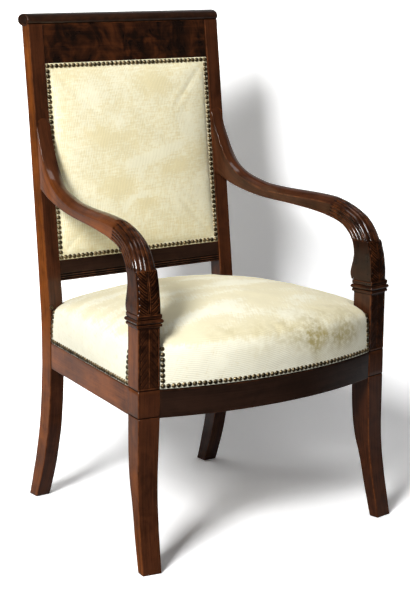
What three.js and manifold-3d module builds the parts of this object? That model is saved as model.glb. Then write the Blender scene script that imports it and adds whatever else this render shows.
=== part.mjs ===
// Mahogany armchair: sabre legs, scrolled and reeded arms, a square back, nailed velvet upholstery.
// Millimetres. X runs left to right seen from the front, Y from front to back, Z up from the floor.
import * as THREE from "three";
import { mergeVertices } from "three/addons/utils/BufferGeometryUtils.js";
import Module from "manifold-3d";

const wasm = await Module();
wasm.setup();

// The whole chair
const chairHeight = 930;
const frontWidth = 553.4;
const rearWidth = 432.6;
const frameDepth = 386.3;
const backLean = THREE.MathUtils.degToRad(7.04);

// Clearance between pieces that touch, and the length that a cutter runs past what it cuts
const fit = 0.3;
const overrun = 4;

// Seat rails: bare wood below, and a set-back band above that the velvet is nailed on
const railBottom = 269.5;
const railShow = 51;
const railTacking = 16;
const railThickness = 26;
const railSetBack = 1;
const frontBow = 40;
const tenonLength = 14;
const tenonThickness = 9;
const tenonShoulder = 9;
const blockLeg = 105;
const blockHeight = 42;
const blockDrop = 8;

// Front posts: sabre leg, square shaft and the collar under the arm
const frontPostWidth = 41;
const frontPostDepth = 42;
const frontFootWidth = 36;
const frontFootDepth = 20;
const frontFootSweep = 25.5;
const frontFootSplay = 2.9;
const postChamfer = 1.5;
const scribeDepth = 1;
const scribeHeight = 3;
const collarSink = 17;
const collarHeight = 22;
const collarReach = 5;
const pegRadius = 8;
const pegLength = 24;

// Rear posts: sabre leg and leaning stile in one piece
const rearPostWidth = 30;
const rearPostDepth = 33.3;
const rearFootDepth = 26.5;
const rearFootSweep = 57.3;
const rearFootSplay = 1.2;
const stileDepth = 35;
const stileTopDepth = 25.4;
const leanRise = 33.5;

// Back: lower rail, crest board and the roll along the top
const backRailSink = 12.5;
const backRailHeight = 38.5;
const crestBoardHeight = 68;
const backSetBack = 2.5;
const backThickness = 18;
const backLip = 9;
const backTenonThickness = 7;
const rollHeight = 23;
const rollDepth = 38;
const rollProud = 1.5;
const rollOverhang = 1.7;
const rollBevel = 2;
const crestLap = 4;

// Arms
const armLowJointShare = 0.369;
const armTopJointShare = 0.727;
const armTenonWidth = 10;
const armTenonHeight = 60;
const reedDepth = 1.4;
const sideReeds = 4;
const crownReeds = 5;

// Upholstery
const velvetThickness = 1.8;
const hessianThickness = 0.8;
const webbingThickness = 1.2;
const strapWidth = 50;
const seatStraps = 5;
const backStraps = 4;
const seatCrown = 447;
const seatBulge = 4;
const seatRearDrop = 10;
const seatRimLift = 14;
const backCrown = 20;
const rearClothThickness = 1.2;
const rearClothLap = 15;
const gimpWidth = 10;
const gimpThickness = 1;

// Nails, joined edge to edge in rows
const nailPitch = 9.5;
const nailRadius = 4.6;
const nailHeight = 3;
const nailWebShare = 0.3;
const nailEdge = 5;
const sideNailShare = 0.5415;

// Values that follow from the sizes above
const sideTurn = Math.atan2((frontWidth - rearWidth) / 2, frameDepth);
const railTop = railBottom + railShow + railTacking;
const clothLine = railBottom + railShow;
const rebate = velvetThickness + fit;
const leanHeight = railTop + leanRise;
const collarBottom = seatCrown - collarSink;
const collarTop = collarBottom + collarHeight;
const stileInner = rearWidth / 2 - rearPostWidth;
const rearRailBack = frameDepth + rearPostDepth - railSetBack;
const backRebate = velvetThickness + hessianThickness + webbingThickness + 3 * fit;
const webbingBottom = railTop + fit;
const hessianBottom = webbingBottom + webbingThickness + fit;
const stuffingBottom = hessianBottom + hessianThickness + fit;
const rollCentre = chairHeight - rollHeight / 2;
const backRailBottom = seatCrown - backRailSink;
const panelBottom = backRailBottom + backRailHeight;
const panelTop = chairHeight - rollHeight - crestBoardHeight;
const armLowJoint = THREE.MathUtils.lerp(panelBottom, panelTop, armLowJointShare);
const armTopJoint = THREE.MathUtils.lerp(panelBottom, panelTop, armTopJointShare);
const sideNailTop = THREE.MathUtils.lerp(clothLine, seatCrown, sideNailShare);
const stileTop = chairHeight - rollHeight + crestLap;

// Front leg from floor to rail, each row: height, sweep forward, depth, width, splay
const frontLegShares = [
  [0, 1, 0, 0, 1],
  [0.1, 0.8, 0.09, 0.1, 0.93],
  [0.24, 0.5, 0.18, 0.15, 0.76],
  [0.34, 0.32, 0.23, 0.2, 0.6],
  [0.45, 0.15, 0.38, 0.25, 0.42],
  [0.57, 0.04, 0.69, 0.35, 0.25],
  [0.7, 0, 0.89, 0.5, 0.12],
  [0.84, 0, 0.98, 0.7, 0.04],
  [1, 0, 1, 1, 0],
];

// Rear leg from floor to rail, each row: height, sweep backward, depth, splay
const rearLegShares = [
  [0, 1, 0, 1],
  [0.096, 0.82, 0.31, 0.8],
  [0.222, 0.6, 0.75, 0.55],
  [0.3, 0.485, 0.8, 0.42],
  [0.385, 0.386, 0.85, 0.3],
  [0.54, 0.21, 1, 0.15],
  [0.65, 0.135, 1, 0.07],
  [0.767, 0.08, 1, 0],
  [1, 0, 1, 0],
];

// Stile from where it leans to its top, each row: height, share of the depth at the start of the lean
const stileShares = [
  [0, 1],
  [0.2, 0.62],
  [0.39, 0.37],
  [0.73, 0.02],
  [1, 0],
];

// Collar from its underside up, each row: height, reach
const collarShares = [
  [0.02, 0.6],
  [0.2, 0.6],
  [0.26, 0.35],
  [0.34, 0.8],
  [0.46, 1],
  [0.58, 0.8],
  [0.66, 0.35],
  [0.72, 0.55],
  [0.94, 0.55],
  [1, 0.35],
];

// Arm from the stile down to the collar, each row: underside along and up, crown along and up,
// width, middle of the width, drop of the crown at its edges, and 1 where it is reeded
const armShares = [
  [0.963, 0.545, 1, 1, 0.68, 0.207, 0.3, 0],
  [0.937, 0.528, 0.985, 0.916, 0.68, 0.212, 0.3, 0],
  [0.912, 0.514, 0.958, 0.829, 0.68, 0.22, 0.32, 0],
  [0.884, 0.498, 0.923, 0.732, 0.69, 0.24, 0.34, 0],
  [0.848, 0.484, 0.871, 0.645, 0.7, 0.27, 0.35, 0],
  [0.79, 0.465, 0.802, 0.585, 0.73, 0.305, 0.36, 0],
  [0.722, 0.448, 0.729, 0.551, 0.76, 0.34, 0.36, 0],
  [0.641, 0.434, 0.641, 0.526, 0.78, 0.378, 0.36, 0],
  [0.504, 0.422, 0.504, 0.517, 0.8, 0.4, 0.36, 0],
  [0.378, 0.407, 0.378, 0.516, 0.83, 0.427, 0.35, 0],
  [0.286, 0.39, 0.268, 0.509, 0.88, 0.46, 0.33, 0],
  [0.255, 0.381, 0.231, 0.501, 0.91, 0.475, 0.31, 0],
  [0.251, 0.38, 0.226, 0.499, 0.92, 0.48, 0.31, 1],
  [0.229, 0.373, 0.198, 0.488, 0.94, 0.49, 0.3, 1],
  [0.192, 0.357, 0.142, 0.456, 0.97, 0.5, 0.28, 1],
  [0.16, 0.331, 0.087, 0.408, 0.99, 0.5, 0.26, 1],
  [0.135, 0.296, 0.046, 0.338, 1, 0.5, 0.24, 1],
  [0.119, 0.262, 0.02, 0.262, 1, 0.5, 0.22, 1],
  [0.117, 0.256, 0.018, 0.252, 1, 0.5, 0.1, 0],
  [0.107, 0.209, 0.008, 0.195, 1, 0.5, 0.08, 0],
  [0.104, 0.167, 0.001, 0.15, 1, 0.5, 0.07, 0],
  [0.108, 0.122, -0.002, 0.105, 1.01, 0.5, 0.06, 0],
  [0.115, 0.08, -0.005, 0.063, 1.02, 0.5, 0.05, 0],
  [0.119, 0.04, -0.005, 0.033, 1.04, 0.5, 0.05, 0],
  [0.112, 0, -0.005, 0, 1.05, 0.5, 0.05, 0],
];

// Seat cushion from the cloth line to its crown, each row: height, inset, bulge, share of the cloth
// thickness taken off the height inside, share of the rim's lift and of its drop at the back. The
// cushion is upright as far up as the row of nails reaches.
const nailBandShare = (nailEdge + nailRadius + fit) / (seatCrown - clothLine);
const seatShares = [
  [0, 0, 0, 0, 0],
  [nailBandShare, 0, 0, 0, 0],
  [0.26, 0, 0.9, 0, 0.1],
  [0.42, 0, 1, 0, 0.4],
  [0.54, 0.006, 0.6, 0.6, 0.8],
  [0.61, 0.032, 0, 1, 1],
  [0.67, 0.09, 0, 1, 1],
  [0.755, 0.2, 0, 1, 0.9],
  [0.87, 0.4, 0, 1, 0.6],
  [0.96, 0.65, 0, 1, 0.3],
];

// Back cushion from its nailed edge to its crown, each row: inset, height
const backShares = [
  [0.054, 0],
  [0.082, 0.25],
  [0.14, 0.5],
  [0.3, 0.76],
  [0.55, 0.93],
];

// The bulge ends short of the corners, the front rim lifts less than the others, the crown's flat
// middle starts this near the centre, and the cushion's front corner lies this far along the post
const bulgeRunShare = 0.8;
const frontLiftShare = 0.4;
const crownMiddleShare = 0.9;
const seatCornerShare = 0.25;

// Steps along the seat's edges, along each edge of the back panel and round the turned pieces
const frontSeatSteps = 20;
const otherSeatSteps = 10;
const backSteps = 7;
const pegSteps = 8;
const rollSteps = 14;
const rollBevelSteps = 2;

function finish(color, roughness, metalness = 0) {
  return new THREE.MeshStandardMaterial({ color, roughness, metalness });
}

const mahogany = finish(0x5a2a17, 0.28);
const darkMahogany = finish(0x3f1b10, 0.25);
const beech = finish(0xb58a5c, 0.7);
const velvet = finish(0xe9e3c6, 0.95);
const jute = finish(0xa98a5a, 0.95);
const hessian = finish(0xb39a6b, 0.95);
const horsehair = finish(0x3a2f28, 1);
const brass = finish(0x8a6a35, 0.35, 1);
const linen = finish(0xd8ceb0, 0.9);

// A closed geometry as a solid that can be joined and cut
function toSolid(geometry) {
  const bare = geometry.clone();
  bare.deleteAttribute("normal");
  bare.deleteAttribute("uv");
  const merged = mergeVertices(bare);
  return new wasm.Manifold(new wasm.Mesh({
    numProp: 3,
    vertProperties: new Float32Array(merged.attributes.position.array),
    triVerts: new Uint32Array(merged.index.array),
  }));
}

function toGeometry(solid) {
  const mesh = solid.getMesh();
  const geometry = new THREE.BufferGeometry();
  geometry.setAttribute("position", new THREE.BufferAttribute(mesh.vertProperties, 3));
  geometry.setIndex(new THREE.BufferAttribute(mesh.triVerts, 1));
  geometry.computeVertexNormals();
  return geometry;
}

function join(first, ...others) {
  return others.reduce((whole, other) => whole.add(other), first);
}

function cut(first, ...others) {
  return others.reduce((rest, other) => rest.subtract(other), first);
}

// Turns a geometry's triangles outward if they face in
function outward(points, faces) {
  let volume = 0;
  for (let k = 0; k < faces.length; k += 3) {
    const [a, b, c] = [points[faces[k]], points[faces[k + 1]], points[faces[k + 2]]];
    volume += a.dot(b.clone().cross(c));
  }
  if (volume > 0) return faces;
  return faces.map((_, k) => faces[3 * Math.floor(k / 3) + 2 - (k % 3)]);
}

// Skins rings that have the same number of points, with a fan over each end
function loft(rings) {
  const size = rings[0].length;
  const points = rings.flat();
  const faces = [];
  for (let row = 0; row + 1 < rings.length; row += 1) {
    for (let k = 0; k < size; k += 1) {
      const low = row * size + k;
      const lowNext = row * size + ((k + 1) % size);
      faces.push(low, lowNext, lowNext + size, low, lowNext + size, low + size);
    }
  }
  const last = size * (rings.length - 1);
  points.push(middle(rings[0]), middle(rings[rings.length - 1]));
  for (let k = 0; k < size; k += 1) {
    const next = (k + 1) % size;
    faces.push(next, k, points.length - 2, last + k, last + next, points.length - 1);
  }
  const geometry = new THREE.BufferGeometry().setFromPoints(points);
  geometry.setIndex(outward(points, faces));
  return toSolid(geometry);
}

function middle(ring) {
  return ring.reduce((sum, point) => sum.add(point), new THREE.Vector3()).divideScalar(ring.length);
}

// A plan outline raised between two heights
function prism(plan, bottom, top) {
  const shape = new THREE.Shape(plan.map((point) => new THREE.Vector2(point.x, point.y)));
  const geometry = new THREE.ExtrudeGeometry(shape, { depth: top - bottom, bevelEnabled: false });
  geometry.translate(0, 0, bottom);
  return toSolid(geometry);
}

function boxBetween(low, high, frame = new THREE.Matrix4()) {
  const size = high.clone().sub(low);
  const centre = low.clone().add(high).multiplyScalar(0.5);
  const geometry = new THREE.BoxGeometry(size.x, size.y, size.z);
  geometry.translate(centre.x, centre.y, centre.z);
  return toSolid(geometry.applyMatrix4(frame));
}

function mirrored(solid) {
  const geometry = toGeometry(solid);
  const places = geometry.attributes.position;
  for (let k = 0; k < places.count; k += 1) places.setX(k, -places.getX(k));
  const corners = Array.from(geometry.index.array);
  geometry.setIndex(corners.map((_, k) => corners[3 * Math.floor(k / 3) + 2 - (k % 3)]));
  return toSolid(geometry);
}

function vector(x, y, z) {
  return new THREE.Vector3(x, y, z);
}

// A place on the left side of the chair, which tapers inward towards the back: distance in from the
// outer face, distance back from the front post's front face, and height
function sidePoint(inward, back, height) {
  return vector(
    -frontWidth / 2 + inward * Math.cos(sideTurn) + back * Math.sin(sideTurn),
    back * Math.cos(sideTurn) - inward * Math.sin(sideTurn),
    height,
  );
}

// Distance back along the left side at which a line at this distance inward reaches depth y
function reachAlongSide(y, inward) {
  return (y + inward * Math.sin(sideTurn)) / Math.cos(sideTurn);
}

// The front of the stiles at a height
function stileFront(height) {
  return frameDepth + Math.max(0, height - leanHeight) * Math.tan(backLean);
}

// The leaning back has its own frame: X across, Y behind the stiles' front, Z up the lean
const backFrame = new THREE.Matrix4().makeRotationX(-backLean).setPosition(0, frameDepth, leanHeight);

function upTheBack(height) {
  return (height - leanHeight) / Math.cos(backLean);
}

function backBox(left, right, front, rear, low, high) {
  return boxBetween(vector(left, front, low), vector(right, rear, high), backFrame);
}

// A rectangular ring of points with small chamfers, at one height in the left side's frame
function postRing(outer, inner, front, rear, height) {
  const corners = [];
  const c = postChamfer;
  corners.push([outer, front + c], [outer, rear - c], [outer + c, rear], [inner - c, rear]);
  corners.push([inner, rear - c], [inner, front + c], [inner - c, front], [outer + c, front]);
  return corners.map(([inward, back]) => ({ inward, back, height }));
}

function sideRing(ring) {
  return ring.map(({ inward, back, height }) => sidePoint(inward, back, height));
}

function grownPostRing(reach, height) {
  return sideRing(postRing(-reach, frontPostWidth + reach, -reach, frontPostDepth + reach, height));
}

// The front leg and post without its mortises
function frontPostBlank() {
  const rings = frontLegShares.map(([height, sweep, depth, width, splay]) => {
    const front = -sweep * frontFootSweep;
    const rear = front + THREE.MathUtils.lerp(frontFootDepth, frontPostDepth, depth);
    const outer = -splay * frontFootSplay;
    const inner = outer + THREE.MathUtils.lerp(frontFootWidth, frontPostWidth, width);
    return sideRing(postRing(outer, inner, front, rear, height * railBottom));
  });
  for (const height of [railBottom + scribeHeight, clothLine]) {
    rings.push(grownPostRing(0, height - scribeHeight / 2));
    rings.push(grownPostRing(-scribeDepth, height));
    rings.push(grownPostRing(0, height + scribeHeight / 2));
  }
  rings.push(grownPostRing(0, collarBottom));
  for (const [height, reach] of collarShares) {
    rings.push(grownPostRing(reach * collarReach, collarBottom + height * collarHeight));
  }
  return loft(rings);
}

function cylinderUp(centre, radius, bottom, top) {
  const shape = new THREE.Shape().absarc(centre.x, centre.y, radius, 0, 2 * Math.PI);
  const geometry = new THREE.ExtrudeGeometry(shape, {
    depth: top - bottom, bevelEnabled: false, curveSegments: pegSteps,
  });
  geometry.translate(0, 0, bottom);
  return toSolid(geometry);
}

const pegCentre = sidePoint(frontPostWidth / 2, frontPostDepth / 2, 0);

function frontLeg() {
  const peg = cylinderUp(pegCentre, pegRadius, collarTop - pegRadius, collarTop + pegLength);
  return cut(join(frontPostBlank(), peg), sideRailTenons(fit), frontRailTenon(fit));
}

// The stile and rear leg without its mortises
function rearPostBlank() {
  const outer = -rearWidth / 2;
  const ring = (front, rear, left, height) => {
    const c = postChamfer;
    const right = left + rearPostWidth;
    return [
      vector(left, front + c, height), vector(left, rear - c, height),
      vector(left + c, rear, height), vector(right - c, rear, height),
      vector(right, rear - c, height), vector(right, front + c, height),
      vector(right - c, front, height), vector(left + c, front, height),
    ];
  };
  const rings = rearLegShares.map(([height, sweep, depth, splay]) => {
    const front = frameDepth + sweep * rearFootSweep;
    const rear = front + THREE.MathUtils.lerp(rearFootDepth, rearPostDepth, depth);
    return ring(front, rear, outer - splay * rearFootSplay, height * railBottom);
  });
  rings.push(ring(frameDepth, frameDepth + rearPostDepth, outer, railTop));
  for (const [share, depthShare] of stileShares) {
    const height = THREE.MathUtils.lerp(leanHeight, stileTop, share);
    const depth = THREE.MathUtils.lerp(stileTopDepth, stileDepth, depthShare);
    rings.push(ring(stileFront(height), stileFront(height) + depth, outer, height));
  }
  return loft(rings);
}

function rearPost() {
  const lip = backBox(
    -stileInner - overrun, -stileInner + backLip,
    backSetBack + backRebate, backSetBack + backThickness,
    upTheBack(panelBottom) + backLip + fit, upTheBack(panelTop) - backLip - fit,
  );
  return cut(
    join(rearPostBlank(), lip),
    sideRailTenons(fit), rearRailTenon(fit), armTenon(fit), backRailTenon(fit), crestTenon(fit),
    rollBlank(fit),
  );
}

// Side rails, in the tapering side's frame
function sideRailPlan(outer, inner, frontEnd, rearEnd) {
  return [
    sidePoint(outer, frontEnd, 0), sidePoint(inner, frontEnd, 0),
    sidePoint(inner, reachAlongSide(rearEnd, inner), 0),
    sidePoint(outer, reachAlongSide(rearEnd, outer), 0),
  ];
}

function sideRailTenons(growth) {
  const outer = railSetBack + (railThickness - tenonThickness) / 2 - growth;
  const inner = outer + tenonThickness + 2 * growth;
  const plan = sideRailPlan(
    outer, inner,
    frontPostDepth - tenonLength - growth, frameDepth + tenonLength + growth,
  );
  return prism(plan, railBottom + tenonShoulder - growth, railTop - tenonShoulder + growth);
}

function sideSeatRail() {
  const inner = railSetBack + railThickness;
  const ends = [frontPostDepth + fit, frameDepth - fit];
  const body = prism(sideRailPlan(railSetBack, inner, ...ends), railBottom, railTop);
  const step = sideRailPlan(
    railSetBack - overrun, railSetBack + rebate, ends[0] - overrun, ends[1] + overrun,
  );
  return join(cut(body, prism(step, clothLine, railTop + overrun)), sideRailTenons(0));
}

// The bowed front: an arc through the front posts' inner corners
const frontCorner = sidePoint(frontPostWidth, railSetBack, 0);
const bowRadius = (frontCorner.x ** 2 + frontBow ** 2) / (2 * frontBow);
const bowCentre = frontCorner.y - frontBow + bowRadius;

function bowDepth(x, setBack) {
  return bowCentre - Math.sqrt((bowRadius - setBack) ** 2 - x ** 2);
}

function bowBand(front, rear, halfWidth) {
  const line = (setBack) => {
    const points = [];
    for (let k = 0; k <= frontSeatSteps; k += 1) {
      const x = halfWidth * (2 * k / frontSeatSteps - 1);
      points.push(vector(x, bowDepth(x, setBack), 0));
    }
    return points;
  };
  return [...line(front), ...line(rear).reverse()];
}

// Everything outside the inner face of the left front post
function outsideFrontPost() {
  const face = frontPostWidth + fit;
  const far = frontPostDepth + frontPostWidth;
  const plan = [sidePoint(face, -far, 0), sidePoint(face, 2 * far, 0)];
  plan.push(sidePoint(-far, 2 * far, 0), sidePoint(-far, -far, 0));
  return prism(plan, railBottom - overrun, railTop + overrun);
}

function frontRailTenon(growth) {
  const centre = sidePoint(frontPostWidth, railThickness / 2, 0);
  const half = tenonThickness / 2 + growth;
  return boxBetween(
    vector(centre.x - tenonLength - growth, centre.y - half, railBottom + tenonShoulder - growth),
    vector(centre.x + tenonShoulder, centre.y + half, railTop - tenonShoulder + growth),
  );
}

function frontSeatRail() {
  const halfWidth = Math.abs(frontCorner.x) + overrun;
  const body = prism(bowBand(0, railThickness, halfWidth), railBottom, railTop);
  const step = prism(bowBand(-overrun, rebate, halfWidth + overrun), clothLine, railTop + overrun);
  const outside = outsideFrontPost();
  const tenon = frontRailTenon(0);
  return join(cut(body, step, outside, mirrored(outside)), tenon, mirrored(tenon));
}

function rearRailTenon(growth) {
  const centre = rearRailBack - railThickness / 2;
  const half = tenonThickness / 2 + growth;
  return boxBetween(
    vector(-stileInner - tenonLength - growth, centre - half, railBottom + tenonShoulder - growth),
    vector(-stileInner + tenonLength, centre + half, railTop - tenonShoulder + growth),
  );
}

function rearSeatRail() {
  const end = stileInner - fit;
  const body = boxBetween(
    vector(-end, rearRailBack - railThickness, railBottom), vector(end, rearRailBack, railTop),
  );
  const step = boxBetween(
    vector(-end - overrun, rearRailBack - rebate, clothLine),
    vector(end + overrun, rearRailBack + overrun, railTop + overrun),
  );
  const tenon = rearRailTenon(0);
  return join(cut(body, step), tenon, mirrored(tenon));
}

// Glued blocks in the corners of the seat frame
function frontCornerBlock() {
  const plan = [sidePoint(0, 0, 0), sidePoint(0, blockLeg, 0), sidePoint(blockLeg, 0, 0)];
  const low = railBottom + blockDrop;
  const clear = [low - overrun, low + blockHeight + overrun];
  const post = sideRing(postRing(-overrun, frontPostWidth + fit, -blockLeg, frontPostDepth + fit, 0));
  const side = sideRailPlan(-blockLeg, railSetBack + railThickness + fit, -blockLeg, frameDepth);
  const bow = bowBand(-blockLeg, railThickness + fit, Math.abs(frontCorner.x) + frontPostWidth);
  return cut(
    prism(plan, low, low + blockHeight),
    prism(post, ...clear), prism(side, ...clear), prism(bow, ...clear),
  );
}

function rearCornerBlock() {
  const back = rearRailBack - railThickness - fit;
  const low = railBottom + blockDrop;
  const corner = sidePoint(0, reachAlongSide(back, 0), 0);
  const plan = [corner, vector(corner.x + blockLeg, back, 0)];
  plan.push(sidePoint(0, reachAlongSide(back - blockLeg, 0), 0));
  const clear = [low - overrun, low + blockHeight + overrun];
  const side = sideRailPlan(-blockLeg, railSetBack + railThickness + fit, -blockLeg, 2 * frameDepth);
  const post = [
    vector(-rearWidth, frameDepth - fit, 0), vector(-stileInner + fit, frameDepth - fit, 0),
    vector(-stileInner + fit, 2 * frameDepth, 0), vector(-rearWidth, 2 * frameDepth, 0),
  ];
  return cut(prism(plan, low, low + blockHeight), prism(side, ...clear), prism(post, ...clear));
}

// Lower back rail and crest board, each with a lip behind the cloth's edge and a tenon at each end
function backMember(low, high, lipLow, lipHigh, tenon) {
  const end = stileInner - fit;
  const rear = backSetBack + backThickness;
  const body = backBox(-end, end, backSetBack, rear, upTheBack(low), upTheBack(high));
  const lip = backBox(-end, end, backSetBack + backRebate, rear, lipLow, lipHigh);
  return join(body, lip, tenon, mirrored(tenon));
}

function backTenon(low, high, growth) {
  const centre = backSetBack + backThickness / 2;
  const half = backTenonThickness / 2 + growth;
  return backBox(
    -stileInner - tenonLength - growth, -stileInner + tenonLength, centre - half, centre + half,
    upTheBack(low) + tenonShoulder - growth, upTheBack(high) - tenonShoulder + growth,
  );
}

function backRailTenon(growth) {
  return backTenon(backRailBottom, panelBottom, growth);
}

function crestTenon(growth) {
  return backTenon(panelTop, stileTop - crestLap, growth);
}

function lowerBackRail() {
  const top = upTheBack(panelBottom);
  return backMember(backRailBottom, panelBottom, top - overrun, top + backLip, backRailTenon(0));
}

function crestBoard() {
  const bottom = upTheBack(panelTop);
  const board = backMember(panelTop, stileTop, bottom - backLip, bottom + overrun, crestTenon(0));
  return cut(board, rollBlank(fit));
}

// The roll along the top is oval, with its front just proud of the stiles
function rollBlank(growth) {
  const half = rearWidth / 2 + rollOverhang + growth;
  const bevel = growth > 0 ? 0 : rollBevel;
  const shape = new THREE.Shape().absellipse(
    0, 0, rollDepth / 2 + growth - bevel, rollHeight / 2 + growth - bevel, 0, 2 * Math.PI,
  );
  const geometry = new THREE.ExtrudeGeometry(shape, {
    depth: 2 * (half - bevel), bevelEnabled: bevel > 0, bevelThickness: bevel, bevelSize: bevel,
    bevelSegments: rollBevelSteps, curveSegments: rollSteps,
  });
  geometry.translate(0, 0, bevel - half);
  const lengthwise = new THREE.Matrix4().makeBasis(vector(0, 1, 0), vector(0, 0, 1), vector(1, 0, 0));
  lengthwise.setPosition(0, stileFront(rollCentre) - rollProud + rollDepth / 2, rollCentre);
  return toSolid(geometry.applyMatrix4(lengthwise));
}

// Arms
const armRun = reachAlongSide(stileFront(armTopJoint), 0);
const armBase = collarTop + fit;
const armRise = armTopJoint - armBase;

// One section of the arm: up one side, over the crown and down the other side. Each reed has a
// groove and a ridge point, and the grooves are drawn in where the arm is reeded.
function armSection(width, height, drop, reeded) {
  const edge = Math.max(0, height - drop);
  const points = [];
  const stops = 2 * (2 * sideReeds + crownReeds);
  for (let k = 0; k <= stops; k += 1) {
    const fromStart = k / (2 * sideReeds);
    const fromEnd = (stops - k) / (2 * sideReeds);
    let across;
    let up;
    if (fromStart < 1) [across, up] = [-width / 2, edge * fromStart];
    else if (fromEnd < 1) [across, up] = [width / 2, edge * fromEnd];
    else {
      const turn = (k - 2 * sideReeds) / (2 * crownReeds) * 2 - 1;
      [across, up] = [turn * width / 2, edge + drop * (1 - turn * turn)];
    }
    const inset = reeded && k % 2 === 0 && k > 0 && k < stops ? reedDepth : 0;
    const inward = new THREE.Vector2(-across, height / 2 - up).setLength(inset);
    points.push([across + inward.x, up + inward.y]);
  }
  return points;
}

function armRings() {
  return armShares.map(([lowRun, lowRise, topRun, topRise, widthShare, centreShare, drop, reeded]) => {
    const low = new THREE.Vector2(lowRun * armRun, armBase + lowRise * armRise);
    const top = new THREE.Vector2(topRun * armRun, armBase + topRise * armRise);
    const width = widthShare * frontPostWidth;
    const tall = low.distanceTo(top);
    return armSection(width, tall, drop * width, reeded).map(([across, up]) => {
      const spot = low.clone().lerp(top, up / tall);
      return { inward: centreShare * frontPostWidth + across, back: spot.x, height: spot.y };
    });
  });
}

function armBlank() {
  const rings = armRings();
  const span = armTopJoint - armLowJoint;
  const last = rings[0].map(({ inward, height }) => {
    const ends = [rings[0][0].height, armTopJoint];
    const risen = armLowJoint + span * (height - ends[0]) / (ends[1] - ends[0]);
    const back = reachAlongSide(stileFront(risen) - fit, inward);
    return { inward, back, height: risen };
  });
  return loft([last, ...rings.slice(1)].map(sideRing));
}

function armTenon(growth) {
  const middleHeight = (armLowJoint + armTopJoint) / 2;
  const [, , , , , endMiddle] = armShares[0];
  const end = sidePoint(endMiddle * frontPostWidth, armRun, middleHeight);
  const centre = upTheBack(middleHeight);
  const half = armTenonWidth / 2 + growth;
  return backBox(
    end.x - half, end.x + half, -overrun, tenonLength + growth,
    centre - armTenonHeight / 2 - growth, centre + armTenonHeight / 2 + growth,
  );
}

function arm() {
  const socket = cylinderUp(pegCentre, pegRadius + fit, collarTop - overrun, collarTop + pegLength + fit);
  return cut(join(armBlank(), armTenon(0)), socket);
}

// Seat plan: bowed front, tapering sides and straight back, the same way round from the left front
// corner. Each point knows its distance along its own edge from -1 to 1, the way out of that edge
// and the share of the rim's lift that the edge has.
function seatPlan(growth) {
  const side = (share) => {
    const outer = railSetBack - growth;
    const start = reachAlongSide(bowDepth(frontCorner.x, -growth), outer) + seatCornerShare * frontPostWidth;
    const end = reachAlongSide(rearRailBack + growth, outer);
    return sidePoint(outer, THREE.MathUtils.lerp(start, end, share), 0);
  };
  const corner = side(0);
  const rearCorner = side(1);
  const plan = [];
  for (let k = 0; k < frontSeatSteps; k += 1) {
    const along = 2 * k / frontSeatSteps - 1;
    const x = -corner.x * along;
    const y = k === 0 ? corner.y : bowDepth(x, -growth);
    plan.push({ spot: vector(x, y, 0), along, out: vector(0, -1, 0), lift: frontLiftShare });
  }
  for (let k = 0; k < otherSeatSteps; k += 1) {
    const spot = side(k / otherSeatSteps);
    const out = vector(Math.cos(sideTurn), Math.sin(sideTurn), 0);
    plan.push({ spot: spot.setX(-spot.x), along: 2 * k / otherSeatSteps - 1, out, lift: 1 });
  }
  for (let k = 0; k < otherSeatSteps; k += 1) {
    const along = 2 * k / otherSeatSteps - 1;
    const spot = vector(rearCorner.x * along, rearCorner.y, 0);
    plan.push({ spot, along, out: vector(0, 1, 0), lift: 1 });
  }
  for (let k = 0; k < otherSeatSteps; k += 1) {
    const spot = side(1 - k / otherSeatSteps);
    const out = vector(-Math.cos(sideTurn), Math.sin(sideTurn), 0);
    plan.push({ spot, along: 2 * k / otherSeatSteps - 1, out, lift: 1 });
  }
  return plan;
}

// The seat cushion's outer form, or its inner form with a thickness of cloth taken off
function seatForm(thickness) {
  const plan = seatPlan(-thickness);
  const front = bowDepth(0, 0);
  const centre = vector(0, (front + rearRailBack) / 2, 0);
  const rings = seatShares.map(([rise, inset, bulge, thinning, rim], level) => {
    const sunk = level === 0 && thickness > 0 ? overrun : 0;
    return plan.map(({ spot, along, out, lift }) => {
      const swell = Math.max(0, 1 - (along / bulgeRunShare) ** 2) * bulge * seatBulge;
      const back = (spot.y - front) / (rearRailBack - front);
      const raised = (1 - along ** 2) * lift * seatRimLift - back * seatRearDrop;
      const height = THREE.MathUtils.lerp(clothLine, seatCrown, rise)
        - thinning * thickness + raised * rim - sunk;
      return spot.clone().lerp(centre, inset).addScaledVector(out, swell).setZ(height);
    });
  });
  const peak = centre.clone().setZ(seatCrown - thickness);
  const last = rings[rings.length - 1];
  const top = last.map((point) => point.clone().lerp(peak, crownMiddleShare).setZ(peak.z));
  return loft([...rings, top]);
}

// The space that the posts take out of the upholstery
function postNotches() {
  const low = clothLine - 2 * overrun;
  const front = [
    sidePoint(-frontPostDepth, -frontPostDepth, 0), sidePoint(-frontPostDepth, frontPostDepth + fit, 0),
    sidePoint(frontPostWidth + fit, frontPostDepth + fit, 0),
    sidePoint(frontPostWidth + fit, -frontPostDepth, 0),
  ];
  const rear = [
    vector(-rearWidth, frameDepth - fit, 0), vector(-stileInner + fit, frameDepth - fit, 0),
    vector(-stileInner + fit, 2 * frameDepth, 0), vector(-rearWidth, 2 * frameDepth, 0),
  ];
  const left = join(prism(front, low, seatCrown), prism(rear, low, seatCrown));
  return join(left, mirrored(left));
}

function seatCover() {
  return cut(seatForm(0), seatForm(velvetThickness), postNotches());
}

function seatStuffing() {
  const reach = frontWidth;
  const below = boxBetween(
    vector(-reach, -reach, railBottom), vector(reach, reach + frameDepth, stuffingBottom),
  );
  return cut(seatForm(velvetThickness + fit), below, postNotches());
}

function seatSheet(bottom, thickness) {
  const plan = seatPlan(-rebate - fit).map(({ spot }) => spot);
  return cut(prism(plan, bottom, bottom + thickness), postNotches());
}

function strap(fromX, toX, fromY, toY, bottom, frame) {
  return boxBetween(
    vector(fromX, fromY, bottom), vector(toX, toY, bottom + webbingThickness), frame,
  );
}

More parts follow.
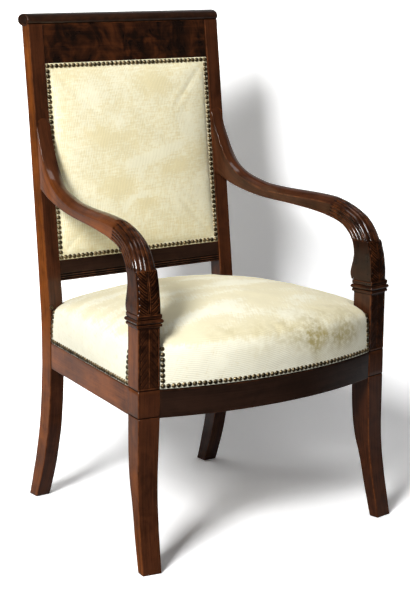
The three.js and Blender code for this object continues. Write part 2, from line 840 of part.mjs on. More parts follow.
// Places of straps spread evenly between two edges
function strapCentres(from, to, count) {
  return Array.from({ length: count }, (_, k) => from + (to - from) * (k + 0.5) / count);
}

// Straps cross between the rails, and each end lies on the middle of its rail
function seatWebbing() {
  const half = strapWidth / 2;
  const land = railThickness / 2;
  const straps = strapCentres(-stileInner, stileInner, seatStraps).map((x) => strap(
    x - half, x + half, bowDepth(x, land), rearRailBack - land, webbingBottom,
  ));
  for (const y of strapCentres(frontPostDepth, frameDepth, seatStraps)) {
    const end = sidePoint(railSetBack + land, reachAlongSide(y, railSetBack + land), 0).x;
    straps.push(strap(end, -end, y - half, y + half, webbingBottom));
  }
  return join(...straps);
}

// Back upholstery, in the back's own frame
const panelMiddle = (upTheBack(panelBottom) + upTheBack(panelTop)) / 2;
const panelHalfHeight = (upTheBack(panelTop) - upTheBack(panelBottom)) / 2 - fit;
const panelHalfWidth = stileInner - fit;

function panelRing(inset, behind) {
  const corners = [[-1, -1], [1, -1], [1, 1], [-1, 1]];
  const half = vector(panelHalfWidth - inset, 0, panelHalfHeight - inset);
  return corners.flatMap(([x, z], side) => {
    const [nextX, nextZ] = corners[(side + 1) % corners.length];
    return Array.from({ length: backSteps }, (_, k) => vector(
      THREE.MathUtils.lerp(x, nextX, k / backSteps) * half.x,
      behind,
      THREE.MathUtils.lerp(z, nextZ, k / backSteps) * half.z + panelMiddle,
    ).applyMatrix4(backFrame));
  });
}

function backDome(thickness) {
  const rings = backShares.map(([inset, rise]) => panelRing(
    inset * panelHalfWidth + thickness, backSetBack + thickness - rise * backCrown,
  ));
  const top = panelRing(crownMiddleShare * panelHalfWidth, backSetBack + thickness - backCrown);
  return [...rings, top];
}

function backCover() {
  const rear = backSetBack + velvetThickness;
  const edge = backShares[0][0] * panelHalfWidth + velvetThickness;
  const outer = loft([panelRing(0, rear), panelRing(0, backSetBack), ...backDome(0)]);
  const hollow = loft([panelRing(edge, rear + overrun), ...backDome(velvetThickness)]);
  return cut(outer, hollow);
}

function backStuffing() {
  const inside = velvetThickness + fit;
  const edge = backShares[0][0] * panelHalfWidth + inside;
  const base = panelRing(edge, backSetBack + velvetThickness);
  return loft([base, ...backDome(inside).slice(1)]);
}

function panelSheet(inset, front, thickness) {
  return loft([panelRing(inset, front), panelRing(inset, front + thickness)]);
}

function backHessian() {
  return panelSheet(fit, backSetBack + velvetThickness + fit, hessianThickness);
}

function backWebbing() {
  const front = backSetBack + velvetThickness + hessianThickness + 2 * fit;
  const standing = new THREE.Matrix4().makeRotationX(Math.PI / 2);
  standing.setPosition(0, front + webbingThickness, panelMiddle);
  standing.premultiply(backFrame);
  const half = strapWidth / 2;
  const [endX, endY] = [panelHalfWidth - fit, panelHalfHeight - fit];
  const upright = strapCentres(-endX, endX, backStraps).map((x) => strap(
    x - half, x + half, -endY, endY, 0, standing,
  ));
  const level = strapCentres(-endY, endY, backStraps).map((y) => strap(
    -endX, endX, y - half, y + half, 0, standing,
  ));
  return join(...upright, ...level);
}

function rearCloth() {
  const front = backSetBack + backThickness + fit;
  return backBox(
    -panelHalfWidth, panelHalfWidth, front, front + rearClothThickness,
    upTheBack(panelBottom) - rearClothLap, upTheBack(panelTop) + rearClothLap,
  );
}

function rearGimp() {
  const front = backSetBack + backThickness + rearClothThickness + 2 * fit;
  const low = upTheBack(panelBottom) - rearClothLap;
  const high = upTheBack(panelTop) + rearClothLap;
  const outer = backBox(
    -panelHalfWidth, panelHalfWidth, front, front + gimpThickness, low, high,
  );
  const inner = backBox(
    -panelHalfWidth + gimpWidth, panelHalfWidth - gimpWidth,
    front - overrun, front + gimpThickness + overrun, low + gimpWidth, high - gimpWidth,
  );
  return cut(outer, inner);
}

// A row of nails along a path on a surface. The path is in the surface's own two directions, and
// the surface gives, for a place on it, the place in space and its three directions.
function nailRow(stops, surface) {
  const places = [stops[0]];
  for (let k = 1; k < stops.length; k += 1) {
    const count = Math.max(1, Math.round(stops[k - 1].distanceTo(stops[k]) / nailPitch));
    for (let n = 1; n <= count; n += 1) places.push(stops[k - 1].clone().lerp(stops[k], n / count));
  }
  const rings = [];
  const addRing = (place, heading, share) => {
    const { origin, along, up, out } = surface(place);
    const aside = new THREE.Vector2(-heading.y, heading.x).setLength(nailRadius * share);
    const step = along.clone().multiplyScalar(aside.x).addScaledVector(up, aside.y);
    rings.push([
      origin.clone().sub(step), origin.clone().add(step),
      origin.clone().addScaledVector(out, nailHeight * share),
    ]);
  };
  places.forEach((place, k) => {
    const before = places[k - 1] ?? place;
    const after = places[k + 1] ?? place;
    const heading = after.clone().sub(before).normalize();
    if (k === 0) addRing(place.clone().addScaledVector(heading, -nailRadius), heading, nailWebShare);
    addRing(place, heading, 1);
    const last = k === places.length - 1;
    const gap = last ? heading.clone().multiplyScalar(nailRadius) : after.clone().sub(place);
    const between = last ? place.clone().add(gap) : place.clone().addScaledVector(gap, 0.5);
    addRing(between, last ? heading : gap.normalize(), nailWebShare);
  });
  return loft(rings);
}

function archedPath(halfLength, low, high) {
  return [
    new THREE.Vector2(-halfLength, high), new THREE.Vector2(-halfLength, low),
    new THREE.Vector2(halfLength, low), new THREE.Vector2(halfLength, high),
  ];
}

const nailLine = clothLine + nailEdge;

function seatFrontNails() {
  const radius = bowRadius + fit;
  const halfTurn = Math.asin((Math.abs(frontCorner.x) - nailEdge - fit) / radius);
  return nailRow(archedPath(halfTurn * radius, nailLine, sideNailTop), (place) => {
    const turn = place.x / radius;
    const out = vector(Math.sin(turn), -Math.cos(turn), 0);
    const origin = vector(0, bowCentre, place.y).addScaledVector(out, radius);
    return { origin, along: vector(Math.cos(turn), Math.sin(turn), 0), up: vector(0, 0, 1), out };
  });
}

function seatSideNails() {
  const outer = railSetBack - fit;
  const start = frontPostDepth + nailEdge + fit;
  const end = reachAlongSide(frameDepth, outer) - nailEdge - fit;
  return nailRow(archedPath((end - start) / 2, nailLine, sideNailTop), (place) => {
    const origin = sidePoint(outer, (start + end) / 2 - place.x, place.y);
    const along = vector(-Math.sin(sideTurn), -Math.cos(sideTurn), 0);
    const out = vector(-Math.cos(sideTurn), Math.sin(sideTurn), 0);
    return { origin, along, up: vector(0, 0, 1), out };
  });
}

function seatRearNails() {
  const half = stileInner - nailEdge - fit;
  const top = sideNailTop - seatRearDrop;
  return nailRow(archedPath(half, nailLine, top), (place) => ({
    origin: vector(-place.x, rearRailBack + fit, place.y),
    along: vector(-1, 0, 0), up: vector(0, 0, 1), out: vector(0, 1, 0),
  }));
}

function panelNails(start, end) {
  const turned = new THREE.Matrix4().extractRotation(backFrame);
  return nailRow([start, end], (place) => ({
    origin: vector(place.x, backSetBack - fit, place.y + panelMiddle).applyMatrix4(backFrame),
    along: vector(1, 0, 0),
    up: vector(0, 0, 1).applyMatrix4(turned),
    out: vector(0, -1, 0).applyMatrix4(turned),
  }));
}

const nailAcross = panelHalfWidth - nailEdge;
const nailUp = panelHalfHeight - nailEdge;
const nailClear = 2 * nailRadius + fit;

function panelRowAcross(up) {
  return panelNails(new THREE.Vector2(-nailAcross, up), new THREE.Vector2(nailAcross, up));
}

function panelRowUp(across) {
  const end = nailUp - nailClear;
  return panelNails(new THREE.Vector2(across, -end), new THREE.Vector2(across, end));
}

const chair = new THREE.Group();

function add(name, solid, material) {
  const mesh = new THREE.Mesh(toGeometry(solid), material);
  mesh.name = name;
  chair.add(mesh);
}

function addPair(name, solid, material) {
  add(`left_${name}`, solid, material);
  add(`right_${name}`, mirrored(solid), material);
}

addPair("rear_post", rearPost(), mahogany);
addPair("front_leg", frontLeg(), mahogany);
addPair("arm", arm(), mahogany);
addPair("side_seat_rail", sideSeatRail(), mahogany);
add("front_seat_rail", frontSeatRail(), darkMahogany);
add("rear_seat_rail", rearSeatRail(), mahogany);
addPair("front_corner_block", frontCornerBlock(), beech);
addPair("rear_corner_block", rearCornerBlock(), beech);
add("lower_back_rail", lowerBackRail(), darkMahogany);
add("crest_board", crestBoard(), mahogany);
add("crest_roll", rollBlank(0), darkMahogany);
add("seat_webbing", seatWebbing(), jute);
add("seat_hessian", seatSheet(hessianBottom, hessianThickness), hessian);
add("seat_stuffing", seatStuffing(), horsehair);
add("seat_cover", seatCover(), velvet);
add("back_webbing", backWebbing(), jute);
add("back_hessian", backHessian(), hessian);
add("back_stuffing", backStuffing(), horsehair);
add("back_cover", backCover(), velvet);
add("rear_cloth", rearCloth(), linen);
add("rear_gimp", rearGimp(), linen);
add("front_seat_nails", seatFrontNails(), brass);
addPair("side_seat_nails", seatSideNails(), brass);
add("rear_seat_nails", seatRearNails(), brass);
add("top_back_nails", panelRowAcross(nailUp), brass);
add("bottom_back_nails", panelRowAcross(-nailUp), brass);
add("left_back_nails", panelRowUp(-nailAcross), brass);
add("right_back_nails", panelRowUp(nailAcross), brass);

// The chair stands centred over the origin
const span = new THREE.Box3().setFromObject(chair);
chair.position.y = -(span.min.y + span.max.y) / 2;

export default chair;
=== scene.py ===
"""Open armchair in mahogany and cream velvet: frame, carving, upholstery and nails, and a plain stage."""

import math
import random

import bmesh
import bpy
from bpy.props import FloatProperty, FloatVectorProperty, PointerProperty
from mathutils import Matrix, Vector, noise
from mathutils.bvhtree import BVHTree


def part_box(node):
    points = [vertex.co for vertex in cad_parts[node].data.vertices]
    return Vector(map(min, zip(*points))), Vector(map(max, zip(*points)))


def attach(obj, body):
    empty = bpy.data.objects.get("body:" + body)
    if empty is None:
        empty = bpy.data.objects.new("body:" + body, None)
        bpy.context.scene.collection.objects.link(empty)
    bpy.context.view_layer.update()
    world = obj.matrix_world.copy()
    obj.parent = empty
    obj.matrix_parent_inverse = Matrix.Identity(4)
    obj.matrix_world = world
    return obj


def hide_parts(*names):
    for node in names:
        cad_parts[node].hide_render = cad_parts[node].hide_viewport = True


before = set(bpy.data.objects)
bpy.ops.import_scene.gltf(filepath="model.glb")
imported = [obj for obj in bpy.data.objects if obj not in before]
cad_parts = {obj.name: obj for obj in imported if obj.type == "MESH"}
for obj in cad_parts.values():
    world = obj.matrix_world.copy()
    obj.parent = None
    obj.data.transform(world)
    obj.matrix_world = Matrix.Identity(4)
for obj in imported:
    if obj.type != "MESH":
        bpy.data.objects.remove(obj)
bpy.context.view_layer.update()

bl_info = {
    "name": "Fauteuil",
    "version": (1, 0, 0),
    "blender": (4, 5, 0),
    "location": "View3D > Sidebar > Fauteuil",
    "description": "Shapes and finishes the pieces of an open armchair over its frame",
    "category": "Object",
}

MM = 0.001
UVS = "surface"

# Sizes of the frame, as it was drawn
FRONT_WIDTH = 553.4 * MM
REAR_WIDTH = 432.6 * MM
FRAME_DEPTH = 386.3 * MM
CHAIR_HEIGHT = 930 * MM
BACK_LEAN = math.radians(7.04)
FIT = 0.3 * MM
RAIL_BOTTOM = 269.5 * MM
CLOTH_LINE = RAIL_BOTTOM + 51 * MM
RAIL_TOP = CLOTH_LINE + 16 * MM
RAIL_THICKNESS = 26 * MM
RAIL_SET_BACK = 1 * MM
FRONT_BOW = 40 * MM
POST_WIDTH = 41 * MM
POST_DEPTH = 42 * MM
FRONT_FOOT_WIDTH = 36 * MM
FRONT_FOOT_DEPTH = 20 * MM
FRONT_FOOT_SWEEP = 25.5 * MM
FRONT_FOOT_SPLAY = 2.9 * MM
SEAT_CROWN = 447 * MM
COLLAR_BOTTOM = SEAT_CROWN - 17 * MM
COLLAR_HEIGHT = 22 * MM
COLLAR_REACH = 5 * MM
SCRIBE_HEIGHT = 3 * MM
REAR_POST_WIDTH = 30 * MM
REAR_POST_DEPTH = 33.3 * MM
REAR_FOOT_DEPTH = 26.5 * MM
REAR_FOOT_SWEEP = 57.3 * MM
REAR_FOOT_SPLAY = 1.2 * MM
STILE_DEPTH = 35 * MM
STILE_TOP_DEPTH = 25.4 * MM
LEAN_HEIGHT = RAIL_TOP + 33.5 * MM
BACK_RAIL_BOTTOM = SEAT_CROWN - 12.5 * MM
PANEL_BOTTOM = BACK_RAIL_BOTTOM + 38.5 * MM
ROLL_HEIGHT = 23 * MM
ROLL_DEPTH = 38 * MM
ROLL_PROUD = 1.5 * MM
ROLL_OVERHANG = 1.7 * MM
PANEL_TOP = CHAIR_HEIGHT - ROLL_HEIGHT - 68 * MM
STILE_TOP = CHAIR_HEIGHT - ROLL_HEIGHT + 4 * MM
BACK_SET_BACK = 2.5 * MM
BACK_THICKNESS = 18 * MM
BACK_CROWN = 20 * MM
SEAT_BULGE = 4 * MM
SEAT_REAR_DROP = 10 * MM
SEAT_RIM_LIFT = 14 * MM
VELVET = 1.8 * MM
HESSIAN = 0.7 * MM
NAIL_EDGE = 5 * MM
CLOTH_LAP = 15 * MM
CLOTH_FRAMES = 20
CORDS_PER_METRE = 290.0
SEAT_BRUSHED = math.radians(24)
BACK_BRUSHED = math.radians(87)
ARM_LOW_JOINT = PANEL_BOTTOM + 0.369 * (PANEL_TOP - PANEL_BOTTOM)
ARM_TOP_JOINT = PANEL_BOTTOM + 0.727 * (PANEL_TOP - PANEL_BOTTOM)
SIDE_NAIL_TOP = CLOTH_LINE + 0.5415 * (SEAT_CROWN - CLOTH_LINE)

SIDE_TURN = math.atan2((FRONT_WIDTH - REAR_WIDTH) / 2, FRAME_DEPTH)
STILE_INNER = REAR_WIDTH / 2 - REAR_POST_WIDTH
REAR_RAIL_BACK = FRAME_DEPTH + REAR_POST_DEPTH - RAIL_SET_BACK
FRONT_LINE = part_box("left_rear_post")[0].y - FRAME_DEPTH

# How far behind the front line the wood is darkened, by hands on the arms and as painted shade on the fronts
# of the posts, and over which lengths that fades out
CROOK_REACH = 75 * MM
CROOK_FADE = 45 * MM
COLLAR_FADE = 5 * MM
POST_FADE = 25 * MM

# Radius of the bends that count as a worn edge or a hollow
BEND_RADIUS = 1.5 * MM

# Front leg from floor to rail, each row: height, sweep forward, depth, width, splay
FRONT_LEG = [
    [0, 1, 0, 0, 1],
    [0.1, 0.8, 0.09, 0.1, 0.93],
    [0.24, 0.5, 0.18, 0.15, 0.76],
    [0.34, 0.32, 0.23, 0.2, 0.6],
    [0.45, 0.15, 0.38, 0.25, 0.42],
    [0.57, 0.04, 0.69, 0.35, 0.25],
    [0.7, 0, 0.89, 0.5, 0.12],
    [0.84, 0, 0.98, 0.7, 0.04],
    [1, 0, 1, 1, 0],
]

# Rear leg from floor to rail, each row: height, sweep backward, depth, splay
REAR_LEG = [
    [0, 1, 0, 1],
    [0.096, 0.82, 0.31, 0.8],
    [0.222, 0.6, 0.75, 0.55],
    [0.3, 0.485, 0.8, 0.42],
    [0.385, 0.386, 0.85, 0.3],
    [0.54, 0.21, 1, 0.15],
    [0.65, 0.135, 1, 0.07],
    [0.767, 0.08, 1, 0],
    [1, 0, 1, 0],
]

# Stile from where it leans to its top, each row: height, share of the depth at the start of the lean
STILE = [[0, 1], [0.2, 0.62], [0.39, 0.37], [0.73, 0.02], [1, 0]]

# Collar from its underside up, each row: height, reach
COLLAR = [
    [0, 0.15],
    [0.03, 0.6],
    [0.2, 0.62],
    [0.26, 0.3],
    [0.33, 0.75],
    [0.45, 1],
    [0.58, 0.75],
    [0.65, 0.3],
    [0.71, 0.55],
    [0.94, 0.55],
    [1, 0.35],
]

# Arm from the stile down to the collar, each row: underside along and up, crown along and up,
# width, middle of the width, drop of the crown at its edges, and 1 where it is reeded
ARM = [
    [0.963, 0.545, 1, 1, 0.68, 0.207, 0.3, 0],
    [0.937, 0.528, 0.985, 0.916, 0.68, 0.212, 0.3, 0],
    [0.912, 0.514, 0.958, 0.829, 0.68, 0.22, 0.32, 0],
    [0.884, 0.498, 0.923, 0.732, 0.69, 0.24, 0.34, 0],
    [0.848, 0.484, 0.871, 0.645, 0.7, 0.27, 0.35, 0],
    [0.79, 0.465, 0.802, 0.585, 0.73, 0.305, 0.36, 0],
    [0.722, 0.448, 0.729, 0.551, 0.76, 0.34, 0.36, 0],
    [0.641, 0.434, 0.641, 0.526, 0.78, 0.378, 0.36, 0],
    [0.504, 0.422, 0.504, 0.517, 0.8, 0.4, 0.36, 0],
    [0.378, 0.407, 0.378, 0.516, 0.83, 0.427, 0.35, 0],
    [0.286, 0.39, 0.268, 0.509, 0.88, 0.46, 0.33, 0],
    [0.255, 0.381, 0.231, 0.501, 0.91, 0.475, 0.31, 0],
    [0.251, 0.38, 0.226, 0.499, 0.92, 0.48, 0.31, 1],
    [0.229, 0.373, 0.198, 0.488, 0.94, 0.49, 0.3, 1],
    [0.192, 0.357, 0.142, 0.456, 0.97, 0.5, 0.28, 1],
    [0.16, 0.331, 0.087, 0.408, 0.99, 0.5, 0.26, 1],
    [0.135, 0.296, 0.046, 0.338, 1, 0.5, 0.24, 1],
    [0.119, 0.262, 0.02, 0.262, 1, 0.5, 0.22, 1],
    [0.117, 0.256, 0.018, 0.252, 1, 0.5, 0.1, 0],
    [0.107, 0.209, 0.008, 0.195, 1, 0.5, 0.08, 0],
    [0.104, 0.167, 0.001, 0.15, 1, 0.5, 0.07, 0],
    [0.108, 0.122, -0.002, 0.105, 1.01, 0.5, 0.06, 0],
    [0.115, 0.08, -0.005, 0.063, 1.02, 0.5, 0.05, 0],
    [0.119, 0.04, -0.005, 0.033, 1.04, 0.5, 0.05, 0],
    [0.112, 0, -0.005, 0, 1.05, 0.5, 0.05, 0],
]

# Row of the arm where its leaf starts, and the distance between its sections above that
LEAF_ROW = 18
ARM_STEP = 3.5 * MM

# Seat cushion from the cloth line to its middle, each row: rise, inset, bulge, lift of the rim,
# and the row that lies on the rim
SEAT = [
    [0, 0, 0, 0],
    [0.075, 0, 0, 0],
    [0.26, 0, 0.9, 0.1],
    [0.42, 0, 1, 0.4],
    [0.54, 0.006, 0.6, 0.8],
    [0.61, 0.032, 0, 1],
    [0.67, 0.09, 0, 1],
    [0.755, 0.2, 0, 0.9],
    [0.87, 0.4, 0, 0.6],
    [0.96, 0.65, 0, 0.3],
    [1, 1, 0, 0],
]
RIM_ROW = 5

# Back cushion from its nailed edge to its middle, each row: inset, rise
BACK = [
    [0, 0],
    [0.054, 0],
    [0.082, 0.25],
    [0.14, 0.5],
    [0.3, 0.76],
    [0.55, 0.93],
    [1, 1],
]

# Shape of the ends of the crest roll, each step: size, and how many millimetres it lies back
ROLL_END = [
    (0.06, 1.3), (0.3, 1.25), (0.55, 1.1), (0.64, 0.9), (0.68, 1.9), (0.73, 2.1), (0.78, 1.8),
    (0.81, 0.4), (0.86, 0.05), (0.92, 0.1), (0.97, 0.9), (0.993, 2.2), (1, 4),
]

# Marks of the hand in the pile of the back, each from a place to another, across and up: width, strength
BACK_MARKS = [
    [(-26, -14), (100, 18), 15, 0.7],
    [(-42, -100), (-26, -78), 9, 0.8],
    [(-26, -78), (10, -70), 9, 0.8],
    [(-100, 125), (-92, 132), 40, 0.45],
    [(-60, 66), (-35, 72), 34, 0.55],
    [(118, 70), (122, 30), 34, 0.6],
    [(150, -60), (150, -140), 40, 0.4],
    [(30, 140), (80, 138), 32, -0.5],
    [(-100, 45), (-65, 45), 30, -0.5],
    [(-80, -60), (-30, -50), 30, -0.6],
    [(20, -30), (100, -22), 22, -0.5],
    [(-5, -92), (30, -88), 14, -0.6],
]

# Where the front of the seat is rubbed, across and up, in the same terms, and how far back it goes
SEAT_WEAR = [
    [(45, 374), (75, 378), 38, 0.85],
    [(74, 372), (79, 336), 20, 0.5],
    [(110, 364), (175, 368), 44, 0.85],
    [(-30, 396), (200, 388), 40, 0.75],
    [(-75, 372), (-45, 370), 30, 0.3],
    [(-135, 405), (-60, 402), 22, 0.4],
]
WEAR_END = -0.2

# Stage: how much paler in sight and darker in far gloss it is than as a light, how far it is pale
# and shows shadows, the share of it in gloss, the form of the backdrop, the lamps and the camera
STAGE_LIFT = 2.9
STAGE_DIM = 0.12
PALE_REACH = 1.3
SHADE_REACH = 1.3
GLOSS_SHARE = 0.3
BACKDROP_HALF_WIDTH = 1.4
BACKDROP_FOOT = 0.34
BACKDROP_CURVE = 0.3
BACKDROP_HEIGHT = 4.0
STAGE_REACH = 12.0
LAMP_TARGET = (0, 0, 0.45)
LAMPS = [
    ("key_lamp", (-2.97, -1.71, 2.51), 0.9, 1.1, 195),
    ("top_lamp", (-1.22, -0.21, 4.25), 1.6, 1.6, 32),
]
SOFT_LIGHT = (0.115, 0.115, 0.12)
WHITE = (1, 1, 1)
DIM_ROOM = (0.05, 0.05, 0.05)
CAMERA_PLACE = Vector((-1.8067, -2.4993, 1.0737))
CAMERA_RIGHT = Vector((0.808, -0.5891, 0.0085))
CAMERA_UP = Vector((0.1168, 0.1743, 0.9777))
CAMERA_BACK = Vector((-0.5775, -0.789, 0.2096))
CAMERA_LENS = 102.12


def between(low, high, share):
    return low + (high - low) * share


def clamped(value, low=0.0, high=1.0):
    return min(high, max(low, value))


def eased(low, high, value):
    """0 below low, 1 above high, and a smooth rise between them."""
    share = clamped((value - low) / (high - low))
    return share * share * (3 - 2 * share)


def evenly(count):
    """Shares from 0 to 1 in a number of steps."""
    return [k / count for k in range(count + 1)]


def spline(stops, values):
    """A smooth line through values at rising stops, that doesn't swing past them."""
    gaps = [after - before for before, after in zip(stops, stops[1:])]
    slopes = [(b - a) / gap for a, b, gap in zip(values, values[1:], gaps)]
    tangents = [slopes[0]]
    for k in range(1, len(slopes)):
        before, after = slopes[k - 1], slopes[k]
        near, far = 2 * gaps[k] + gaps[k - 1], gaps[k] + 2 * gaps[k - 1]
        flat = before * after <= 0
        tangents.append(0 if flat else (near + far) / (near / before + far / after))
    tangents.append(slopes[-1])

    def line(at):
        k = 0
        while k + 2 < len(stops) and at > stops[k + 1]:
            k += 1
        gap = gaps[k]
        t = clamped((at - stops[k]) / gap)
        rest = 1 - t
        return (
            values[k] * (1 + 2 * t) * rest * rest
            + values[k + 1] * t * t * (3 - 2 * t)
            + gap * tangents[k] * t * rest * rest
            - gap * tangents[k + 1] * t * t * rest
        )

    return line


def lines_of(table, stops=None):
    """One smooth line for each column of a table after the first, or for all columns with stops given."""
    first = 1 if stops is None else 0
    stops = stops or [row[0] for row in table]
    return [spline(stops, [row[k] for row in table]) for k in range(first, len(table[0]))]


def side_place(inward, back, height):
    """A place on the left side, which tapers to the back: distance in from its outer face, and back."""
    return Vector((
        -FRONT_WIDTH / 2 + inward * math.cos(SIDE_TURN) + back * math.sin(SIDE_TURN),
        FRONT_LINE + back * math.cos(SIDE_TURN) - inward * math.sin(SIDE_TURN),
        height,
    ))


def reach_along_side(depth, inward):
    """Distance back along the left side at which a line at this distance inward is this deep."""
    return (depth + inward * math.sin(SIDE_TURN)) / math.cos(SIDE_TURN)


def stile_front(height):
    return FRAME_DEPTH + max(0, height - LEAN_HEIGHT) * math.tan(BACK_LEAN)


def back_place(across, behind, up):
    """A place in the leaning back: across, behind the stiles' front, and up the lean."""
    return Vector((
        across,
        FRONT_LINE + FRAME_DEPTH + behind * math.cos(BACK_LEAN) + up * math.sin(BACK_LEAN),
        LEAN_HEIGHT + up * math.cos(BACK_LEAN) - behind * math.sin(BACK_LEAN),
    ))


def up_the_back(height):
    return (height - LEAN_HEIGHT) / math.cos(BACK_LEAN)


PANEL_MIDDLE = (up_the_back(PANEL_BOTTOM) + up_the_back(PANEL_TOP)) / 2
PANEL_HALF_HEIGHT = (up_the_back(PANEL_TOP) - up_the_back(PANEL_BOTTOM)) / 2 - FIT
PANEL_HALF_WIDTH = STILE_INNER - FIT

FRONT_CORNER = side_place(POST_WIDTH, RAIL_SET_BACK, 0)
CORNER_DEPTH = FRONT_CORNER.y - FRONT_LINE
BOW_RADIUS = (FRONT_CORNER.x ** 2 + FRONT_BOW ** 2) / (2 * FRONT_BOW)
BOW_CENTRE = CORNER_DEPTH - FRONT_BOW + BOW_RADIUS


def bow_depth(across, set_back):
    return BOW_CENTRE - math.sqrt((BOW_RADIUS - set_back) ** 2 - across ** 2)


def mirrored(rings):
    return [[Vector((-spot.x, spot.y, spot.z)) for spot in ring] for ring in rings]


def skin(rings, closed_end=False):
    """A grid wrapped through rings of places, which all have the same number of places."""
    columns = len(rings[0])
    rows = len(rings) if closed_end else len(rings) - 1
    round_run = running_lengths(rings[len(rings) // 2], True)
    long_run = running_lengths([ring[0] for ring in rings], closed_end)
    shift = rings[0][0].x * 17 % 1
    bm = bmesh.new()
    bmesh.ops.create_grid(bm, x_segments=columns, y_segments=rows, size=1)
    places = {}
    for vert in bm.verts:
        column = round((vert.co.x + 1) / 2 * columns)
        row = round((vert.co.y + 1) / 2 * rows)
        places[vert] = (column, row)
        vert.co = rings[row % len(rings)][column % columns]
    uvs = bm.loops.layers.uv.new(UVS)
    for face in bm.faces:
        face.smooth = True
        for loop in face.loops:
            column, row = places[loop.vert]
            loop[uvs].uv = (round_run[column] + shift, long_run[row])
    bmesh.ops.remove_doubles(bm, verts=bm.verts, dist=0.001 * MM)
    if not closed_end:
        rims = [edge for edge in bm.edges if edge.is_boundary]
        caps = bmesh.ops.holes_fill(bm, edges=rims, sides=0)["faces"]
        for edge in rims:
            edge.smooth = False
        for face in caps:
            face.smooth = False
            for loop in face.loops:
                loop[uvs].uv = (loop.vert.co.x + loop.vert.co.z, loop.vert.co.y)
    bmesh.ops.recalc_face_normals(bm, faces=bm.faces)
    return bm


def running_lengths(places, wrapped):
    """Distances along a line of places, with the way back to the first one when it is wrapped."""
    run = [0.0]
    chain = list(places) + ([places[0]] if wrapped else [])
    for before, after in zip(chain, chain[1:]):
        run.append(run[-1] + (after - before).length)
    return run


def soft_ring(corners, softness, counts):
    """Places round a four-cornered ring with softened corners, each with its side and its share along it."""
    spots = []
    for k, here in enumerate(corners):
        after = corners[(k + 1) % 4]
        way = (after - here).normalized()
        back_way = (corners[k - 1] - here).normalized()
        for step in (-1, -0.5, 0, 0.5, 1):
            ahead = (1 + step) ** 2 * softness / 4
            behind = (1 - step) ** 2 * softness / 4
            spots.append((here + way * ahead + back_way * behind, k, None))
        length = (after - here).length
        margin = 2 * softness
        for n in range(counts[k] + 1):
            reach = between(margin, length - margin, n / counts[k])
            spots.append((here + way * reach, k, reach / length))
    return spots


def box_corners(left, right, front, rear):
    return [Vector((left, front)), Vector((right, front)), Vector((right, rear)), Vector((left, rear))]


def how_handled_and_shaded(place, normal):
    """How dark the wood is made near the front: the crooks of the arms by hands and wax, and the forward
    faces of the posts as painted shade.
    """
    ahead = 1 - eased(CROOK_REACH, CROOK_REACH + CROOK_FADE, place.y - FRONT_LINE)
    on_arm = eased(COLLAR_BOTTOM - COLLAR_FADE, COLLAR_BOTTOM + COLLAR_FADE, place.z)
    # Painted shade on the faces of the posts that look forward
    on_post = eased(CLOTH_LINE - POST_FADE, CLOTH_LINE + POST_FADE, place.z) * clamped(-normal.y)
    return ahead * max(on_arm, on_post)


def mark_bends(bm, radius, outward):
    """Writes how far each place stands out and lies in a hollow, how far it faces outward (fading and
    painted light), and how dark it is made near the front (handling and painted shade).
    """
    worn = bm.verts.layers.float.new("worn")
    hollow = bm.verts.layers.float.new("hollow")
    faded = bm.verts.layers.float.new("faded")
    handled = bm.verts.layers.float.new("handled")
    bm.normal_update()
    for vert in bm.verts:
        high = low = 0.0
        for edge in vert.link_edges:
            if len(edge.link_faces) == 2:
                one, other = edge.link_faces
                width = (one.calc_center_median() - other.calc_center_median()).length
                bend = edge.calc_face_angle_signed(0) / max(width, 0.1 * MM)
                high = max(high, bend)
                low = min(low, bend)
        vert[worn] = clamped(high * radius)
        vert[hollow] = clamped(-low * radius)
        vert[handled] = how_handled_and_shaded(vert.co, vert.normal)
        # Outward faces are lightened: fading, and painted light of the lamp on the left
        if outward is not None:
            kept_dark = 1 - 0.7 * clamped(vert[worn] + vert[hollow])
            vert[faded] = clamped(vert.normal.dot(outward)) ** 2 * kept_dark


def put_in_scene(name, data):
    """A new object that holds a mesh, a lamp or a camera."""
    made = bpy.data.objects.new(name, data)
    bpy.context.scene.collection.objects.link(made)
    return made


def object_of(bm, name):
    """Turns a finished mesh into an object of the scene."""
    mesh = bpy.data.meshes.new(name)
    bm.to_mesh(mesh)
    bm.free()
    return put_in_scene(name, mesh)


def settle(bm, name, material_name, replaced, marked=True, outward=None, bend_radius=BEND_RADIUS):
    """Makes a finished mesh into a piece that rides on the chair and stands for its CAD nodes."""
    if marked:
        mark_bends(bm, bend_radius, outward)
    piece = object_of(bm, name)
    piece.data.materials.append(finish_named(material_name))
    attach(piece, "root")
    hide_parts(*replaced)
    return piece


def apply_modifiers(piece):
    """Replaces a piece's mesh by what its modifiers make of it."""
    graph = bpy.context.evaluated_depsgraph_get()
    mesh = bpy.data.meshes.new_from_object(piece.evaluated_get(graph), depsgraph=graph)
    old = piece.data
    piece.modifiers.clear()
    piece.data = mesh
    name = old.name
    bpy.data.meshes.remove(old)
    mesh.name = name


def pair(rings, base, node, bend_radius=BEND_RADIUS):
    """A left piece in mahogany and its mirror on the right."""
    for side, shape, outward in (
        ("left", rings, Vector((-1, 0, 0))),
        ("right", mirrored(rings), Vector((1, 0, 0))),
    ):
        settle(
            skin(shape), f"{base}_{side}", "mahogany", [f"{side}_{node}"],
            outward=outward, bend_radius=bend_radius,
        )


def reed(share, count):
    """How far a row of convex reeds lies below its own crest, from 0 to 1."""
    across = 2 * (share * count % 1) - 1
    return 1 - math.sqrt(max(0, 1 - across * across))


